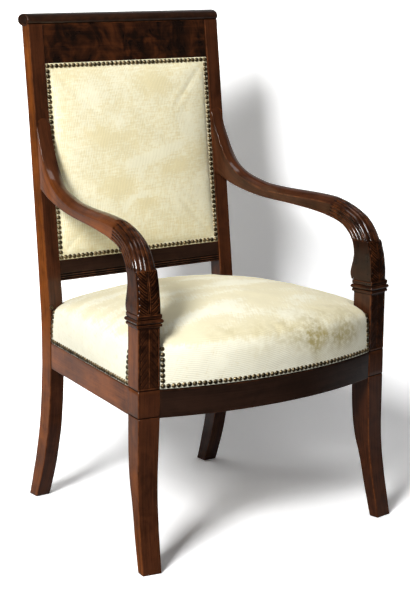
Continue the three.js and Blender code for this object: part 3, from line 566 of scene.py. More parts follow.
def leaf(across, up, pitch):
    """Depth of a carved leaf below the surface, from 0 on its lobes to 1 on the sunk ground.

    Across runs from -1 to 1 over the face, up is a height, and pitch is the height of one lobe."""
    aside = abs(across)
    if aside < 0.16:
        beside = 1 - math.sqrt(clamped(1 - ((aside - 0.1) / 0.065) ** 2))
        return 0.15 + 0.75 * (aside < 0.035) + 0.35 * beside
    rise = up / pitch - 1.5 * aside ** 1.4
    lobe = 2 * (rise % 1) - 1
    outline = 0.82 + 0.13 * math.sqrt(clamped(1 - lobe * lobe)) - 0.04 * lobe
    ground = eased(outline - 0.03, outline + 0.05, aside)
    valley = (1 - math.sqrt(clamped(1 - (0.97 * lobe) ** 2))) * 0.8
    vein = 0.3 * (1 - eased(0.04, 0.16, abs(lobe + 0.15)))
    eye = 0.9 * (1 - eased(0.03, 0.07, math.hypot((aside - outline) * 0.8, (lobe + 0.95) * 0.12)))
    return clamped(max(valley, vein, ground, eye) + 0.12 * (1 - eased(0.16, 0.24, aside)))


# Wood of the frame

def leg_corners(lines, share, inset=0):
    """Corners of the front leg at a share of its height."""
    sweep, depth, width, splay = [line(share) for line in lines]
    front = -sweep * FRONT_FOOT_SWEEP
    rear = front + between(FRONT_FOOT_DEPTH, POST_DEPTH, depth)
    outer = -splay * FRONT_FOOT_SPLAY
    inner = outer + between(FRONT_FOOT_WIDTH, POST_WIDTH, width)
    return box_corners(outer + inset, inner - inset, front + inset, rear - inset)


def post_corners(reach):
    """Corners of the front post, let out by a reach."""
    return box_corners(-reach, POST_WIDTH + reach, -reach, POST_DEPTH + reach)


def front_leg_rings(sizes):
    lines = lines_of(FRONT_LEG)
    counts = [40, 8, 8, 8]
    rings = []

    def add(corners, height, relief=None):
        ring = []
        for spot, side, share in soft_ring(corners, sizes.edge_softness, counts):
            sunk = relief(share) if relief and side == 0 and share is not None else 0
            ring.append(side_place(spot.x, spot.y + sunk, height))
        rings.append(ring)

    add(leg_corners(lines, 0, sizes.edge_softness / 2), 0)
    add(leg_corners(lines, 0), sizes.edge_softness / 2)
    for share in evenly(54)[1:]:
        add(leg_corners(lines, share), share * RAIL_BOTTOM)
    for line in (RAIL_BOTTOM + SCRIBE_HEIGHT, CLOTH_LINE):
        for step in range(1, 6):
            below = RAIL_BOTTOM if line < CLOTH_LINE else RAIL_BOTTOM + 1.5 * SCRIBE_HEIGHT
            top = line - SCRIBE_HEIGHT / 2
            if top - below > SCRIBE_HEIGHT:
                add(post_corners(0), between(below, top, step / 6))
        for offset, sunk in ((-0.5, 0), (-0.25, 0.7), (0, 1), (0.25, 0.7), (0.5, 0)):
            add(post_corners(-sunk * sizes.scribe_depth), line + offset * SCRIBE_HEIGHT)
    low = CLOTH_LINE + 1.2 * SCRIBE_HEIGHT
    high = COLLAR_BOTTOM - 2 * MM
    for share in evenly(88):
        height = between(low, high, share)
        border = eased(0, 0.012, share) * (1 - eased(0.985, 1, share))

        def relief(across, height=height, border=border):
            centred = 2 * across - 1
            edge = 1 - eased(0.8, 0.86, abs(centred))
            carved = leaf(centred / 0.82, high - height, sizes.panel_lobe)
            return sizes.panel_depth * border * edge * between(0.3, 1, carved)

        add(post_corners(0), height, relief)
    (reach,) = lines_of(COLLAR)
    for share in evenly(44):
        add(post_corners(reach(share) * COLLAR_REACH), COLLAR_BOTTOM + share * COLLAR_HEIGHT)
    return rings


def rear_post_rings(sizes):
    sweep, depth, splay = lines_of(REAR_LEG)
    counts = [10, 10, 10, 10]
    rings = []

    def add(left, front, rear, height, inset=0):
        corners = box_corners(left + inset, left + REAR_POST_WIDTH - inset, front + inset, rear - inset)
        rings.append([
            Vector((spot.x, FRONT_LINE + spot.y, height))
            for spot, _, _ in soft_ring(corners, sizes.edge_softness, counts)
        ])

    outer = -REAR_WIDTH / 2
    for share in evenly(54):
        front = FRAME_DEPTH + sweep(share) * REAR_FOOT_SWEEP
        rear = front + between(REAR_FOOT_DEPTH, REAR_POST_DEPTH, depth(share))
        left = outer - splay(share) * REAR_FOOT_SPLAY
        if share == 0:
            add(left, front, rear, 0, sizes.edge_softness / 2)
        add(left, front, rear, max(share * RAIL_BOTTOM, sizes.edge_softness / 2))
    for share in evenly(12)[1:]:
        add(outer, FRAME_DEPTH, FRAME_DEPTH + REAR_POST_DEPTH, between(RAIL_BOTTOM, RAIL_TOP, share))
    (lean_depth,) = lines_of(STILE)
    for share in evenly(100):
        height = between(LEAN_HEIGHT, STILE_TOP, share)
        front = stile_front(height)
        rear = front + between(STILE_TOP_DEPTH, STILE_DEPTH, lean_depth(share))
        add(outer, front, rear, height)
    return rings


def arm_section(width, height, drop):
    """One section of the arm round its underside, sides and crown, each place with its part and share."""
    edge = max(0, height - drop)
    half = width / 2
    section = []
    for share in (0.03, 0.1, 0.3, 0.5, 0.7, 0.9, 0.97):
        section.append((Vector((between(half, -half, share), 0)), "under", share))
    for share in evenly(32)[:-1]:
        section.append((Vector((-half, edge * share)), "side", share))
    for share in evenly(40):
        turn = 2 * share - 1
        section.append((Vector((turn * half, edge + drop * (1 - turn * turn))), "crown", share))
    for share in evenly(32)[:-1]:
        section.append((Vector((half, edge * (1 - share))), "side", 1 - share))
    section.append((Vector((half, 0)), "side", 0))
    return section


def softened(places, passes):
    for _ in range(passes):
        places = [
            (before + here * 2 + after) / 4
            for before, here, after in zip(places[-1:] + places[:-1], places, places[1:] + places[:1])
        ]
    return places


def arm_stations(sizes, run, rise):
    """Distances along the arm of its table's rows and of its sections, which are closer over the leaf."""
    stops = [0.0]
    for before, after in zip(ARM, ARM[1:]):
        step = Vector(((before[0] + before[2] - after[0] - after[2]) * run,
                       (before[1] + before[3] - after[1] - after[3]) * rise)) / 2
        stops.append(stops[-1] + step.length)
    stations = []
    for k, (start, end) in enumerate(zip(stops, stops[1:])):
        spacing = sizes.carving_step if k >= LEAF_ROW - 1 else ARM_STEP
        steps = max(1, math.ceil((end - start) / spacing))
        stations += [between(start, end, n / steps) for n in range(steps)]
    stations.append(stops[-1])
    return stops, stations


def arm_rings(sizes):
    run = reach_along_side(stile_front(ARM_TOP_JOINT), 0)
    base = COLLAR_BOTTOM + COLLAR_HEIGHT + FIT
    rise = ARM_TOP_JOINT - base
    stops, stations = arm_stations(sizes, run, rise)
    lines = lines_of(ARM, stops)
    carved_from = stops[LEAF_ROW]
    rings = []
    for at in stations:
        low_run, low_rise, top_run, top_rise, width, centre, drop, reeded = [line(at) for line in lines]
        low = Vector((low_run * run, base + low_rise * rise))
        top = Vector((top_run * run, base + top_rise * rise))
        width *= POST_WIDTH
        tall = (top - low).length
        section = arm_section(width, tall, drop * width)
        outline = softened([spot for spot, _, _ in section], 3)
        carving = eased(carved_from, carved_from + 2 * MM, at) * (1 - eased(-4 * MM, 0, at - stops[-1]))
        ring = []
        for k, (spot, (_, part, share)) in enumerate(zip(outline, section)):
            ahead = outline[(k + 1) % len(outline)] - outline[k - 1]
            inward = Vector((-ahead.y, ahead.x)).normalized() * -1
            sunk = 0
            if part == "crown":
                carved = leaf((2 * share - 1) * 1.06, stops[-1] - at + 3 * MM, sizes.leaf_lobe)
                sunk = reeded * sizes.reed_depth * reed(share, 5) + carving * sizes.leaf_depth * carved
            elif part == "side":
                sunk = reeded * sizes.reed_depth * 0.8 * reed(share, 4) * eased(0, 0.06, share)
            spot = spot + inward * sunk
            place = low.lerp(top, spot.y / tall)
            ring.append((centre * POST_WIDTH + spot.x, place.x, place.y))
        rings.append(ring)
    low_end = min(height for _, _, height in rings[0])
    joint = []
    for inward, _, height in rings[0]:
        risen = between(ARM_LOW_JOINT, ARM_TOP_JOINT, (height - low_end) / (ARM_TOP_JOINT - low_end))
        joint.append((inward, reach_along_side(stile_front(risen) - FIT, inward), risen))
    rings[0] = joint
    return [[side_place(*spot) for spot in ring] for ring in rings]


def swept(section, stations, place):
    """Rings of a section, given as across and up, placed along a line of stations."""
    return [[place(station, spot.x, spot.y) for spot in section] for station in stations]


def rail_section(sizes):
    """Section of a seat rail: from its face back, and up, with the band under the velvet set back."""
    corners = box_corners(RAIL_SET_BACK, RAIL_SET_BACK + RAIL_THICKNESS, RAIL_BOTTOM, RAIL_TOP)
    section = []
    for spot, _, _ in soft_ring(corners, sizes.edge_softness, (6, 24, 6, 24)):
        covered = eased(CLOTH_LINE - 0.5 * MM, CLOTH_LINE, spot.y) * (spot.x < 2 * RAIL_SET_BACK)
        section.append(Vector((spot.x + covered * (VELVET + FIT), spot.y)))
    return section


def side_rail_rings(sizes):
    section = rail_section(sizes)

    def place(station, inward, height):
        start = POST_DEPTH + FIT
        end = reach_along_side(FRAME_DEPTH - FIT, inward)
        return side_place(inward, between(start, end, station), height)

    return swept(section, evenly(60), place)


def front_rail_rings(sizes):
    section = rail_section(sizes)
    face = POST_WIDTH + FIT

    def place(station, set_back, height):
        reach = abs(FRONT_CORNER.x)
        for _ in range(3):
            depth = bow_depth(reach, set_back)
            reach = FRONT_WIDTH / 2 - face / math.cos(SIDE_TURN) - depth * math.tan(SIDE_TURN)
        across = (2 * station - 1) * reach
        return Vector((across, FRONT_LINE + bow_depth(across, set_back - RAIL_SET_BACK), height))

    return swept(section, evenly(90), place)


def rear_rail_rings(sizes):
    section = rail_section(sizes)
    end = STILE_INNER - FIT

    def place(station, set_back, height):
        depth = REAR_RAIL_BACK - set_back + RAIL_SET_BACK
        return Vector((between(-end, end, station), FRONT_LINE + depth, height))

    return swept(section, evenly(60), place)


def back_member_rings(sizes, low, high, scribes=()):
    """A rail or board of the leaning back, with incised lines along its front."""
    end = STILE_INNER - FIT
    corners = box_corners(BACK_SET_BACK, BACK_SET_BACK + BACK_THICKNESS, up_the_back(low), up_the_back(high))
    section = []
    for spot, side, _ in soft_ring(corners, sizes.edge_softness / 2, (8, 10, 8, 60)):
        sunk = 0
        if side == 3:
            for line in scribes:
                away = abs(spot.y - up_the_back(low) - line) / (0.5 * SCRIBE_HEIGHT)
                sunk = max(sunk, sizes.scribe_depth * math.sqrt(clamped(1 - away * away)))
        section.append(Vector((spot.x + sunk, spot.y)))

    def place(station, behind, up):
        return back_place(between(-end, end, station), behind, up)

    return swept(section, evenly(72), place)


def crest_roll_rings():
    half = REAR_WIDTH / 2 + ROLL_OVERHANG
    centre = CHAIR_HEIGHT - ROLL_HEIGHT / 2
    middle = FRONT_LINE + stile_front(centre) - ROLL_PROUD + ROLL_DEPTH / 2
    ends = [(scale, half - back * MM) for scale, back in ROLL_END]
    body_end = ends[-1][1]
    body = [(1, between(body_end, -body_end, share)) for share in evenly(60)[1:-1]]
    rings = []
    for scale, across in ends + body + [(scale, -across) for scale, across in reversed(ends)]:
        ring = []
        for share in evenly(56)[:-1]:
            turn = 2 * math.pi * share
            depth = middle + scale * ROLL_DEPTH / 2 * math.cos(turn)
            ring.append(Vector((across, depth, centre + scale * ROLL_HEIGHT / 2 * math.sin(turn))))
        rings.append(ring)
    return rings


# Upholstery

def square_grid(steps, place):
    """A grid whose rings run from its middle out to its rim, placed by ring share, side and share along.

    Side 0 is the front, 1 the right, 2 the rear and 3 the left, and along runs from -1 to 1."""
    bm = bmesh.new()
    bmesh.ops.create_grid(bm, x_segments=steps, y_segments=steps, size=1)
    uvs = bm.loops.layers.uv.new(UVS)
    flats = {}
    for vert in bm.verts:
        x, y = vert.co.x, vert.co.y
        ring = max(abs(x), abs(y))
        if ring < 1e-6:
            side, along = 0, 0
        elif -y >= abs(x) - 1e-6:
            side, along = 0, x / ring
        elif x >= abs(y) - 1e-6:
            side, along = 1, y / ring
        elif y >= abs(x) - 1e-6:
            side, along = 2, x / ring
        else:
            side, along = 3, y / ring
        vert.co, flats[vert] = place(1 - ring, side, along)
    for face in bm.faces:
        face.smooth = True
        for loop in face.loops:
            loop[uvs].uv = flats[loop.vert]
    return bm


def seat_rim(side, along):
    """A place on the seat's outline, the way out of its edge and the share of the rim's lift there."""
    start = reach_along_side(bow_depth(FRONT_CORNER.x, 0), RAIL_SET_BACK) + 0.25 * POST_WIDTH
    end = reach_along_side(REAR_RAIL_BACK, RAIL_SET_BACK)
    if side in (1, 3):
        spot = side_place(RAIL_SET_BACK, between(start, end, (along + 1) / 2), 0)
        out = Vector((-math.cos(SIDE_TURN), math.sin(SIDE_TURN), 0))
        if side == 1:
            spot.x, out.x = -spot.x, -out.x
        return spot, out, 1
    if side == 0:
        corner = side_place(RAIL_SET_BACK, start, 0)
        across = -corner.x * along
        depth = FRONT_LINE + bow_depth(across, 0)
        if abs(along) > 0.999:
            depth = corner.y
        return Vector((across, depth, 0)), Vector((0, -1, 0)), 0.4
    corner = side_place(RAIL_SET_BACK, end, 0)
    return Vector((-corner.x * along, corner.y, 0)), Vector((0, 1, 0)), 1


def profile_lines(table, heights, widths):
    """Smooth lines for a cushion's table, over the distance along its section as a share of the whole."""
    stops = [0.0]
    for before, after in zip(table, table[1:]):
        step = math.hypot(heights(after) - heights(before), widths(after) - widths(before))
        stops.append(stops[-1] + max(0.1 * MM, step))
    stops = [stop / stops[-1] for stop in stops]
    return lines_of(table, stops)


def seat_form(shrink):
    """The seat cushion's outer face, with its crown and bulge held back by a share of the swelling."""
    rise, inset, bulge, lift = profile_lines(
        SEAT, lambda row: row[0] * (SEAT_CROWN - CLOTH_LINE), lambda row: row[1] * FRONT_WIDTH / 2,
    )
    front = bow_depth(0, 0) + FRONT_LINE
    rear = REAR_RAIL_BACK + FRONT_LINE
    centre = Vector((0, (front + rear) / 2, 0))

    def place(share, side, along):
        spot, out, lifted = seat_rim(side, along)
        swell = max(0, 1 - (along / 0.8) ** 2) * bulge(share) * SEAT_BULGE
        back = (spot.y - front) / (rear - front)
        raised = (1 - along * along) * lifted * SEAT_RIM_LIFT - back * SEAT_REAR_DROP
        height = between(CLOTH_LINE, SEAT_CROWN, rise(share)) + raised * lift(share)
        free = eased(0.03, 0.2, share)
        flat = spot.lerp(centre, inset(share))
        top = between(CLOTH_LINE, SEAT_CROWN, SEAT[RIM_ROW][0])
        unrolled = flat + out * max(0, top - height)
        solid = flat + out * (swell - free * shrink * (1 - eased(0.2, 0.3, share)))
        solid.z = height - free * shrink * eased(0.1, 0.3, share)
        return solid, (unrolled.x, unrolled.y)

    return place


def back_form(shrink):
    """The back cushion's outer face, crowned both ways and nailed flat at its edges."""
    inset, _ = profile_lines(BACK, lambda row: row[1] * BACK_CROWN, lambda row: row[0] * PANEL_HALF_WIDTH)
    (rise,) = lines_of(BACK)

    def place(share, side, along):
        reach = 1 - inset(share)
        across, up = [
            (along * reach, -reach), (reach, along * reach), (along * reach, reach), (-reach, along * reach),
        ][side]
        crown = rise(1 - abs(across)) * rise(1 - abs(up)) * BACK_CROWN
        behind = BACK_SET_BACK - crown + eased(0.03, 0.2, share) * shrink
        across, up = across * PANEL_HALF_WIDTH, up * PANEL_HALF_HEIGHT
        return back_place(across, behind, up + PANEL_MIDDLE), (across, up)

    return place


def facing(bm, way):
    """Turns an open sheet's faces so that they look along a direction."""
    bmesh.ops.recalc_face_normals(bm, faces=bm.faces)
    if sum(face.normal.dot(way) * face.calc_area() for face in bm.faces) < 0:
        bmesh.ops.reverse_faces(bm, faces=bm.faces)
    bm.normal_update()


def blown_up(piece, pinned, cap):
    """Fills a cushion by a cloth simulation with air under it, and keeps each place within a cap."""
    rest = [(vert.co.copy(), vert.normal.copy()) for vert in piece.data.vertices]
    group = piece.vertex_groups.new(name="nailed")
    for index, weight in pinned.items():
        group.add([index], weight, "REPLACE")
    cloth = piece.modifiers.new("Cloth", "CLOTH")
    settings = cloth.settings
    settings.quality = 5
    settings.mass = 0.35
    settings.tension_stiffness = settings.compression_stiffness = 20
    settings.shear_stiffness = 8
    settings.bending_stiffness = 1.5
    settings.air_damping = 4
    settings.use_pressure = True
    settings.uniform_pressure_force = 1.5
    settings.vertex_group_mass = group.name
    settings.effector_weights.gravity = 0
    cloth.collision_settings.use_collision = False
    cloth.point_cache.frame_start = 1
    cloth.point_cache.frame_end = CLOTH_FRAMES
    scene = bpy.context.scene
    for step in range(1, CLOTH_FRAMES + 1):
        scene.frame_set(step)
    apply_modifiers(piece)
    scene.frame_set(1)
    for vert, (start, normal) in zip(piece.data.vertices, rest):
        swell = (vert.co - start).dot(normal)
        vert.co = start + normal * min(max(swell, -cap / 2), cap)
    piece.vertex_groups.clear()


def subdivided(piece):
    finer = piece.modifiers.new("Subdivision", "SUBSURF")
    finer.levels = finer.render_levels = 1
    finer.uv_smooth = "PRESERVE_BOUNDARIES"
    apply_modifiers(piece)


def closed_under(piece, moves):
    """Turns a cushion's rim under by a number of moves, and closes it."""
    bm = bmesh.new()
    bm.from_mesh(piece.data)
    rim = [edge for edge in bm.edges if edge.is_boundary]
    for move in moves:
        made = bmesh.ops.extrude_edge_only(bm, edges=rim)["geom"]
        for vert in made:
            if isinstance(vert, bmesh.types.BMVert):
                vert.co = move(vert.co)
        rim = [edge for edge in made if isinstance(edge, bmesh.types.BMEdge) and edge.is_boundary]
    bmesh.ops.holes_fill(bm, edges=rim, sides=0)
    bmesh.ops.recalc_face_normals(bm, faces=bm.faces)
    bm.to_mesh(piece.data)
    bm.free()


def side_spot(place):
    """How far a place lies in from the outer face and back along the side that is nearer to it."""
    across = FRONT_WIDTH / 2 - abs(place.x)
    depth = place.y - FRONT_LINE
    inward = across * math.cos(SIDE_TURN) - depth * math.sin(SIDE_TURN)
    back = across * math.sin(SIDE_TURN) + depth * math.cos(SIDE_TURN)
    return inward, back


def away_from_posts(place):
    """Distance of a place from the nearer of the front and rear posts, seen from above."""
    inward, back = side_spot(place)
    front = math.hypot(max(0, inward - POST_WIDTH - FIT), max(0, back - POST_DEPTH - FIT))
    across = max(0, STILE_INNER - abs(place.x))
    depth = max(0, FRAME_DEPTH - FIT - place.y + FRONT_LINE)
    return min(front, math.hypot(across, depth))


def post_cutter():
    """Four blocks where the posts pass through the upholstery."""
    bm = bmesh.new()
    low, high = CLOTH_LINE - 8 * MM, SEAT_CROWN + 30 * MM
    far = 2 * POST_DEPTH
    front = [
        side_place(inward, back, low)
        for inward, back in ((-far, -far), (-far, POST_DEPTH + FIT), (POST_WIDTH + FIT, POST_DEPTH + FIT),
                             (POST_WIDTH + FIT, -far))
    ]
    near, deep = FRONT_LINE + FRAME_DEPTH - FIT, FRONT_LINE + 2 * FRAME_DEPTH
    rear = [
        Vector((across, depth, low))
        for across, depth in ((-REAR_WIDTH, near), (-STILE_INNER + FIT, near), (-STILE_INNER + FIT, deep),
                              (-REAR_WIDTH, deep))
    ]
    for plan in (front, rear, *mirrored([front, rear])):
        base = bm.faces.new([bm.verts.new(spot) for spot in plan])
        raised = bmesh.ops.extrude_face_region(bm, geom=[base])["geom"]
        for vert in raised:
            if isinstance(vert, bmesh.types.BMVert):
                vert.co.z = high
    bmesh.ops.recalc_face_normals(bm, faces=bm.faces)
    return object_of(bm, "post_cutter")


def cut_round_posts(piece):
    cutter = post_cutter()
    notch = piece.modifiers.new("Notches", "BOOLEAN")
    notch.operation = "DIFFERENCE"
    notch.solver = "EXACT"
    notch.object = cutter
    apply_modifiers(piece)
    bpy.data.meshes.remove(cutter.data)
    if not piece.data.polygons:
        raise RuntimeError("nothing is left of " + piece.name)


def write_marks(piece, name, value):
    """Writes a number for each place of a piece, for its finish to read."""
    layer = piece.data.attributes.new(name, "FLOAT", "POINT")
    for vert in piece.data.vertices:
        layer.data[vert.index].value = value(vert.co, vert.normal)


def stroke(place, start, end, width):
    """How strongly a stroke of the hand between two points marks the pile at a place, from 0 to 1."""
    place, start, end = Vector(place), Vector(start), Vector(end)
    way = end - start
    share = clamped((place - start).dot(way) / way.length_squared)
    away = (place - start - way * share).length / width
    return (1 - eased(0, 1, away)) * (1 - 0.4 * abs(2 * share - 1))


def strokes(spot, marks):
    """What all the strokes of a table leave at a place."""
    return sum(
        strength * stroke(spot, Vector(start) * MM, Vector(end) * MM, width * MM)
        for start, end, width, strength in marks
    )


def seat_rubbed(place, normal):
    """Where the front of the seat is rubbed to its ground."""
    if place.y > WEAR_END:
        return 0
    return clamped(strokes((place.x, place.z), SEAT_WEAR) * (0.85 + 0.6 * noise.noise(place * 32)))


def seat_pile_lay_and_sheen(place, normal):
    """How light the pile is: kept light on the sides as painted light, and streaked on the top where the
    pile lies different ways.
    """
    streak = noise.noise(Vector((place.x * 9, place.y * 26, 3)))
    return clamped(0.75 + (0.8 * streak - 0.4) * eased(0.3, 0.9, normal.z))


def seat_cushion(sizes):
    shrink = sizes.swelling
    bm = square_grid(116, seat_form(shrink))
    facing(bm, Vector((0, 0, 1)))
    for vert in bm.verts:
        if not vert.is_boundary and away_from_posts(vert.co) > 2 * MM:
            wave = noise.noise(vert.co * 28) * 0.9 + noise.noise(vert.co * 70) * 0.35
            vert.co += vert.normal * wave * sizes.unevenness * eased(0.02, 0.05, vert.co.z - CLOTH_LINE)
    parts = ["seat_cover", "seat_stuffing"]
    piece = settle(bm, "seat_cushion", "velvet", parts, marked=False)
    nails = CLOTH_LINE + 2 * NAIL_EDGE
    pinned = {
        vert.index: 1.0 for vert in piece.data.vertices
        if vert.co.z < nails or away_from_posts(vert.co) < 2 * NAIL_EDGE
    }
    blown_up(piece, pinned, sizes.swelling * 1.5)
    subdivided(piece)
    normals = [vert.normal.copy() for vert in piece.data.vertices]
    for vert, normal in zip(piece.data.vertices, normals):
        away = away_from_posts(vert.co)
        tuck = clamped(1 - away / sizes.tuck_reach) ** 2
        vert.co -= normal * tuck * between(1.2 * MM, sizes.tuck_depth, clamped(normal.z))
    centre = Vector((0, FRONT_LINE + FRAME_DEPTH / 2, 0))

    def turned_in(place):
        way = centre - place
        way.z = 0
        return place + way.normalized() * VELVET

    under = RAIL_TOP + 3.3 * MM
    closed_under(piece, [turned_in, lambda place: Vector((place.x, place.y, under))])
    cut_round_posts(piece)
    write_marks(piece, "rubbed", seat_rubbed)
    # The pile's lay, with painted light on the seat's sides
    write_marks(piece, "crushed", seat_pile_lay_and_sheen)


def back_cushion(sizes):
    shrink = sizes.swelling
    bm = square_grid(100, back_form(shrink))
    facing(bm, Vector((0, -1, 0)))
    parts = ["back_cover", "back_stuffing"]
    piece = settle(bm, "back_cushion", "back_velvet", parts, marked=False)
    edge = 2 * NAIL_EDGE
    pinned = {}
    uvs = piece.data.uv_layers[UVS].data
    for loop in piece.data.loops:
        across, up = uvs[loop.index].uv
        if PANEL_HALF_WIDTH - abs(across) < edge or PANEL_HALF_HEIGHT - abs(up) < edge:
            pinned[loop.vertex_index] = 1.0
    blown_up(piece, pinned, sizes.swelling * 1.5)
    subdivided(piece)
    backwards = back_place(0, VELVET, 0) - back_place(0, 0, 0)
    closed_under(piece, [lambda place: place + backwards])

    def crushed(place, normal):
        spot = (place.x, up_the_back(place.z) - PANEL_MIDDLE)
        light = 0.25 * noise.noise(Vector((place.x * 11, place.z * 15, 8)))
        return clamped(0.5 + light + 0.6 * strokes(spot, BACK_MARKS))

    write_marks(piece, "crushed", crushed)


def nail_places(stops, surface, pitch):
    """Evenly spaced nails along a path on a surface, each with its place and the way out."""
    spots = [stops[0]]
    for before, after in zip(stops, stops[1:]):
        count = max(1, round((after - before).length / pitch))
        spots += [before.lerp(after, n / count) for n in range(1, count + 1)]
    return [surface(spot) for spot in spots]


def arched(half, low, high):
    return [Vector(spot) for spot in ((-half, high), (-half, low), (half, low), (half, high))]


def front_nail_surface(spot):
    turn = spot.x / (BOW_RADIUS + FIT)
    out = Vector((math.sin(turn), -math.cos(turn), 0))
    return Vector((0, FRONT_LINE + BOW_CENTRE, spot.y)) + out * (BOW_RADIUS + FIT), out


def side_nail_span():
    """Where the nails of a side start and end, along it."""
    end = reach_along_side(FRAME_DEPTH, RAIL_SET_BACK - FIT)
    return POST_DEPTH + NAIL_EDGE + FIT, end - NAIL_EDGE - FIT


def side_nail_surface(spot):
    start, end = side_nail_span()
    out = Vector((-math.cos(SIDE_TURN), math.sin(SIDE_TURN), 0))
    return side_place(RAIL_SET_BACK - FIT, (start + end) / 2 - spot.x, spot.y), out


def rear_nail_surface(spot):
    return Vector((-spot.x, FRONT_LINE + REAR_RAIL_BACK + FIT, spot.y)), Vector((0, 1, 0))


def panel_nail_surface(spot):
    out = back_place(0, -1, 0) - back_place(0, 0, 0)
    return back_place(spot.x, BACK_SET_BACK - FIT, spot.y + PANEL_MIDDLE), out


def shaken(chance, reach):
    """A small move in any direction."""
    return Vector([chance.uniform(-1, 1) for _ in range(3)]) * reach


def nail_piece(name, places, cushion, replaced, sizes, seed):
    """A row of domed heads, each driven a little unevenly into the cloth it holds."""
    chance = random.Random(seed)
    cloth = bpy.data.objects[cushion]
    graph = bpy.context.evaluated_depsgraph_get()
    tree = BVHTree.FromObject(cloth, graph)
    bm = bmesh.new()
    tone = bm.verts.layers.float.new("tone")
    radius = sizes.nail_radius
    for place, out in places:
        hit = tree.ray_cast(place + out * 12 * MM, -out, 20 * MM)[0]
        if hit is not None:
            place = hit
        lean = shaken(chance, 0.09)
        turned = (out + lean).to_track_quat("Z", "Y").to_matrix().to_4x4()
        sideways = shaken(chance, 0.25 * MM)
        size = chance.uniform(0.96, 1.02)
        shape = Matrix.Diagonal((size, size, sizes.nail_height / radius, 1))
        made = bmesh.ops.create_uvsphere(
            bm, u_segments=10, v_segments=6, radius=radius,
            matrix=Matrix.Translation(place + sideways) @ turned @ shape,
        )["verts"]
        shade = chance.random()
        for vert in made:
            vert[tone] = shade
    for face in bm.faces:
        face.smooth = True
    settle(bm, name, "brass", replaced, marked=False)


def thicken(bm, thickness):
    bmesh.ops.recalc_face_normals(bm, faces=bm.faces)
    bmesh.ops.solidify(bm, geom=bm.faces, thickness=thickness)
    bmesh.ops.recalc_face_normals(bm, faces=bm.faces)


def strap_piece(name, straps, rows, node, sizes):
    """Bands of webbing, each given as a function from its share along and across to a place."""
    bm = bmesh.new()
    uvs = bm.loops.layers.uv.new(UVS)
    for number, (place, length) in enumerate(straps):
        made = bmesh.ops.create_grid(bm, x_segments=rows, y_segments=8, size=1)["verts"]
        flats = {}
        for vert in made:
            along, across = (vert.co.x + 1) / 2, (vert.co.y + 1) / 2
            flats[vert] = (across * sizes.strap_width + 0.013 * number, along * length)
            vert.co = place(along, across)
        for face in {face for vert in made for face in vert.link_faces}:
            for loop in face.loops:
                loop[uvs].uv = flats[loop.vert]
    for face in bm.faces:
        face.smooth = True
    thicken(bm, 0.9 * MM)
    settle(bm, name, "webbing", [node], marked=False)


def spread(low, high, count):
    """Middles of a number of straps spread evenly between two edges."""
    return [between(low, high, (k + 0.5) / count) for k in range(count)]


def weaving(at, crossings, half, first):
    """Up over one crossing strap and down under the next, from -1 to 1."""
    rise = 0
    for k, middle in enumerate(crossings):
        near = 1 - eased(half * 0.8, half * 1.35, abs(at - middle))
        rise += near * (1 if (k + first) % 2 else -1)
    return rise


def seat_straps(sizes):
    height = RAIL_TOP + FIT + 0.2 * MM
    land = RAIL_THICKNESS / 2
    half = sizes.strap_width / 2
    lengthwise = spread(-STILE_INNER, STILE_INNER, 5)
    crosswise = spread(POST_DEPTH, FRAME_DEPTH, 5)
    weave = 0.75 * MM

    def long_strap(k, middle):
        start, end = bow_depth(middle, land), REAR_RAIL_BACK - land

        def place(along, across):
            depth = between(start, end, along)
            x = middle + between(-half, half, across)
            up = height + weave * (1 + weaving(depth, crosswise, half, k))
            return Vector((x, FRONT_LINE + depth, up))

        return place, end - start

    def cross_strap(k, middle):
        end = -side_place(RAIL_SET_BACK + land, reach_along_side(middle, RAIL_SET_BACK + land), 0).x

        def place(along, across):
            x = between(-end, end, along)
            depth = middle + between(-half, half, across)
            up = height + weave * (1 + weaving(x, lengthwise, half, k + 1))
            return Vector((x, FRONT_LINE + depth, up))

        return place, 2 * end

    straps = [long_strap(k, middle) for k, middle in enumerate(lengthwise)]
    straps += [cross_strap(k, middle) for k, middle in enumerate(crosswise)]
    strap_piece("seat_straps", straps, 72, "seat_webbing", sizes)


def back_straps(sizes):
    behind = BACK_SET_BACK + VELVET + 3.2 * MM
    weave = 0.7 * MM
    half = sizes.strap_width / 2
    across_middles = spread(-PANEL_HALF_WIDTH, PANEL_HALF_WIDTH, 4)
    up_middles = spread(-PANEL_HALF_HEIGHT, PANEL_HALF_HEIGHT, 4)

    def strap(k, middle, upright):
        crossings = up_middles if upright else across_middles
        reach = (PANEL_HALF_HEIGHT if upright else PANEL_HALF_WIDTH) - 2 * FIT

        def place(along, across):
            at = between(-reach, reach, along)
            aside = middle + between(-half, half, across)
            spot = (aside, at) if upright else (at, aside)
            lifted = weave * weaving(at, crossings, half, k + upright)
            return back_place(spot[0], behind + lifted, spot[1] + PANEL_MIDDLE)

        return place, 2 * reach

    straps = [strap(k, middle, True) for k, middle in enumerate(across_middles)]
    straps += [strap(k, middle, False) for k, middle in enumerate(up_middles)]
    strap_piece("back_straps", straps, 56, "back_webbing", sizes)


def sheet_of(bm, name, material_name, node, thickness):
    """A flat sheet with its thickness, standing for a cloth node."""
    thicken(bm, thickness)
    return settle(bm, name, material_name, [node], marked=False)


def seat_hessian():
    height = RAIL_TOP + 2.5 * MM
    centre = Vector((0, FRONT_LINE + FRAME_DEPTH / 2, 0))
    inset = VELVET + 3 * FIT

    def place(share, side, along):
        spot, out, _ = seat_rim(side, along)
        spot = (spot - out * inset).lerp(centre, share)
        spot.z = height
        return spot, (spot.x, spot.y)

    bm = square_grid(48, place)
    piece = sheet_of(bm, "seat_hessian_sheet", "hessian", "seat_hessian", HESSIAN)
    cut_round_posts(piece)


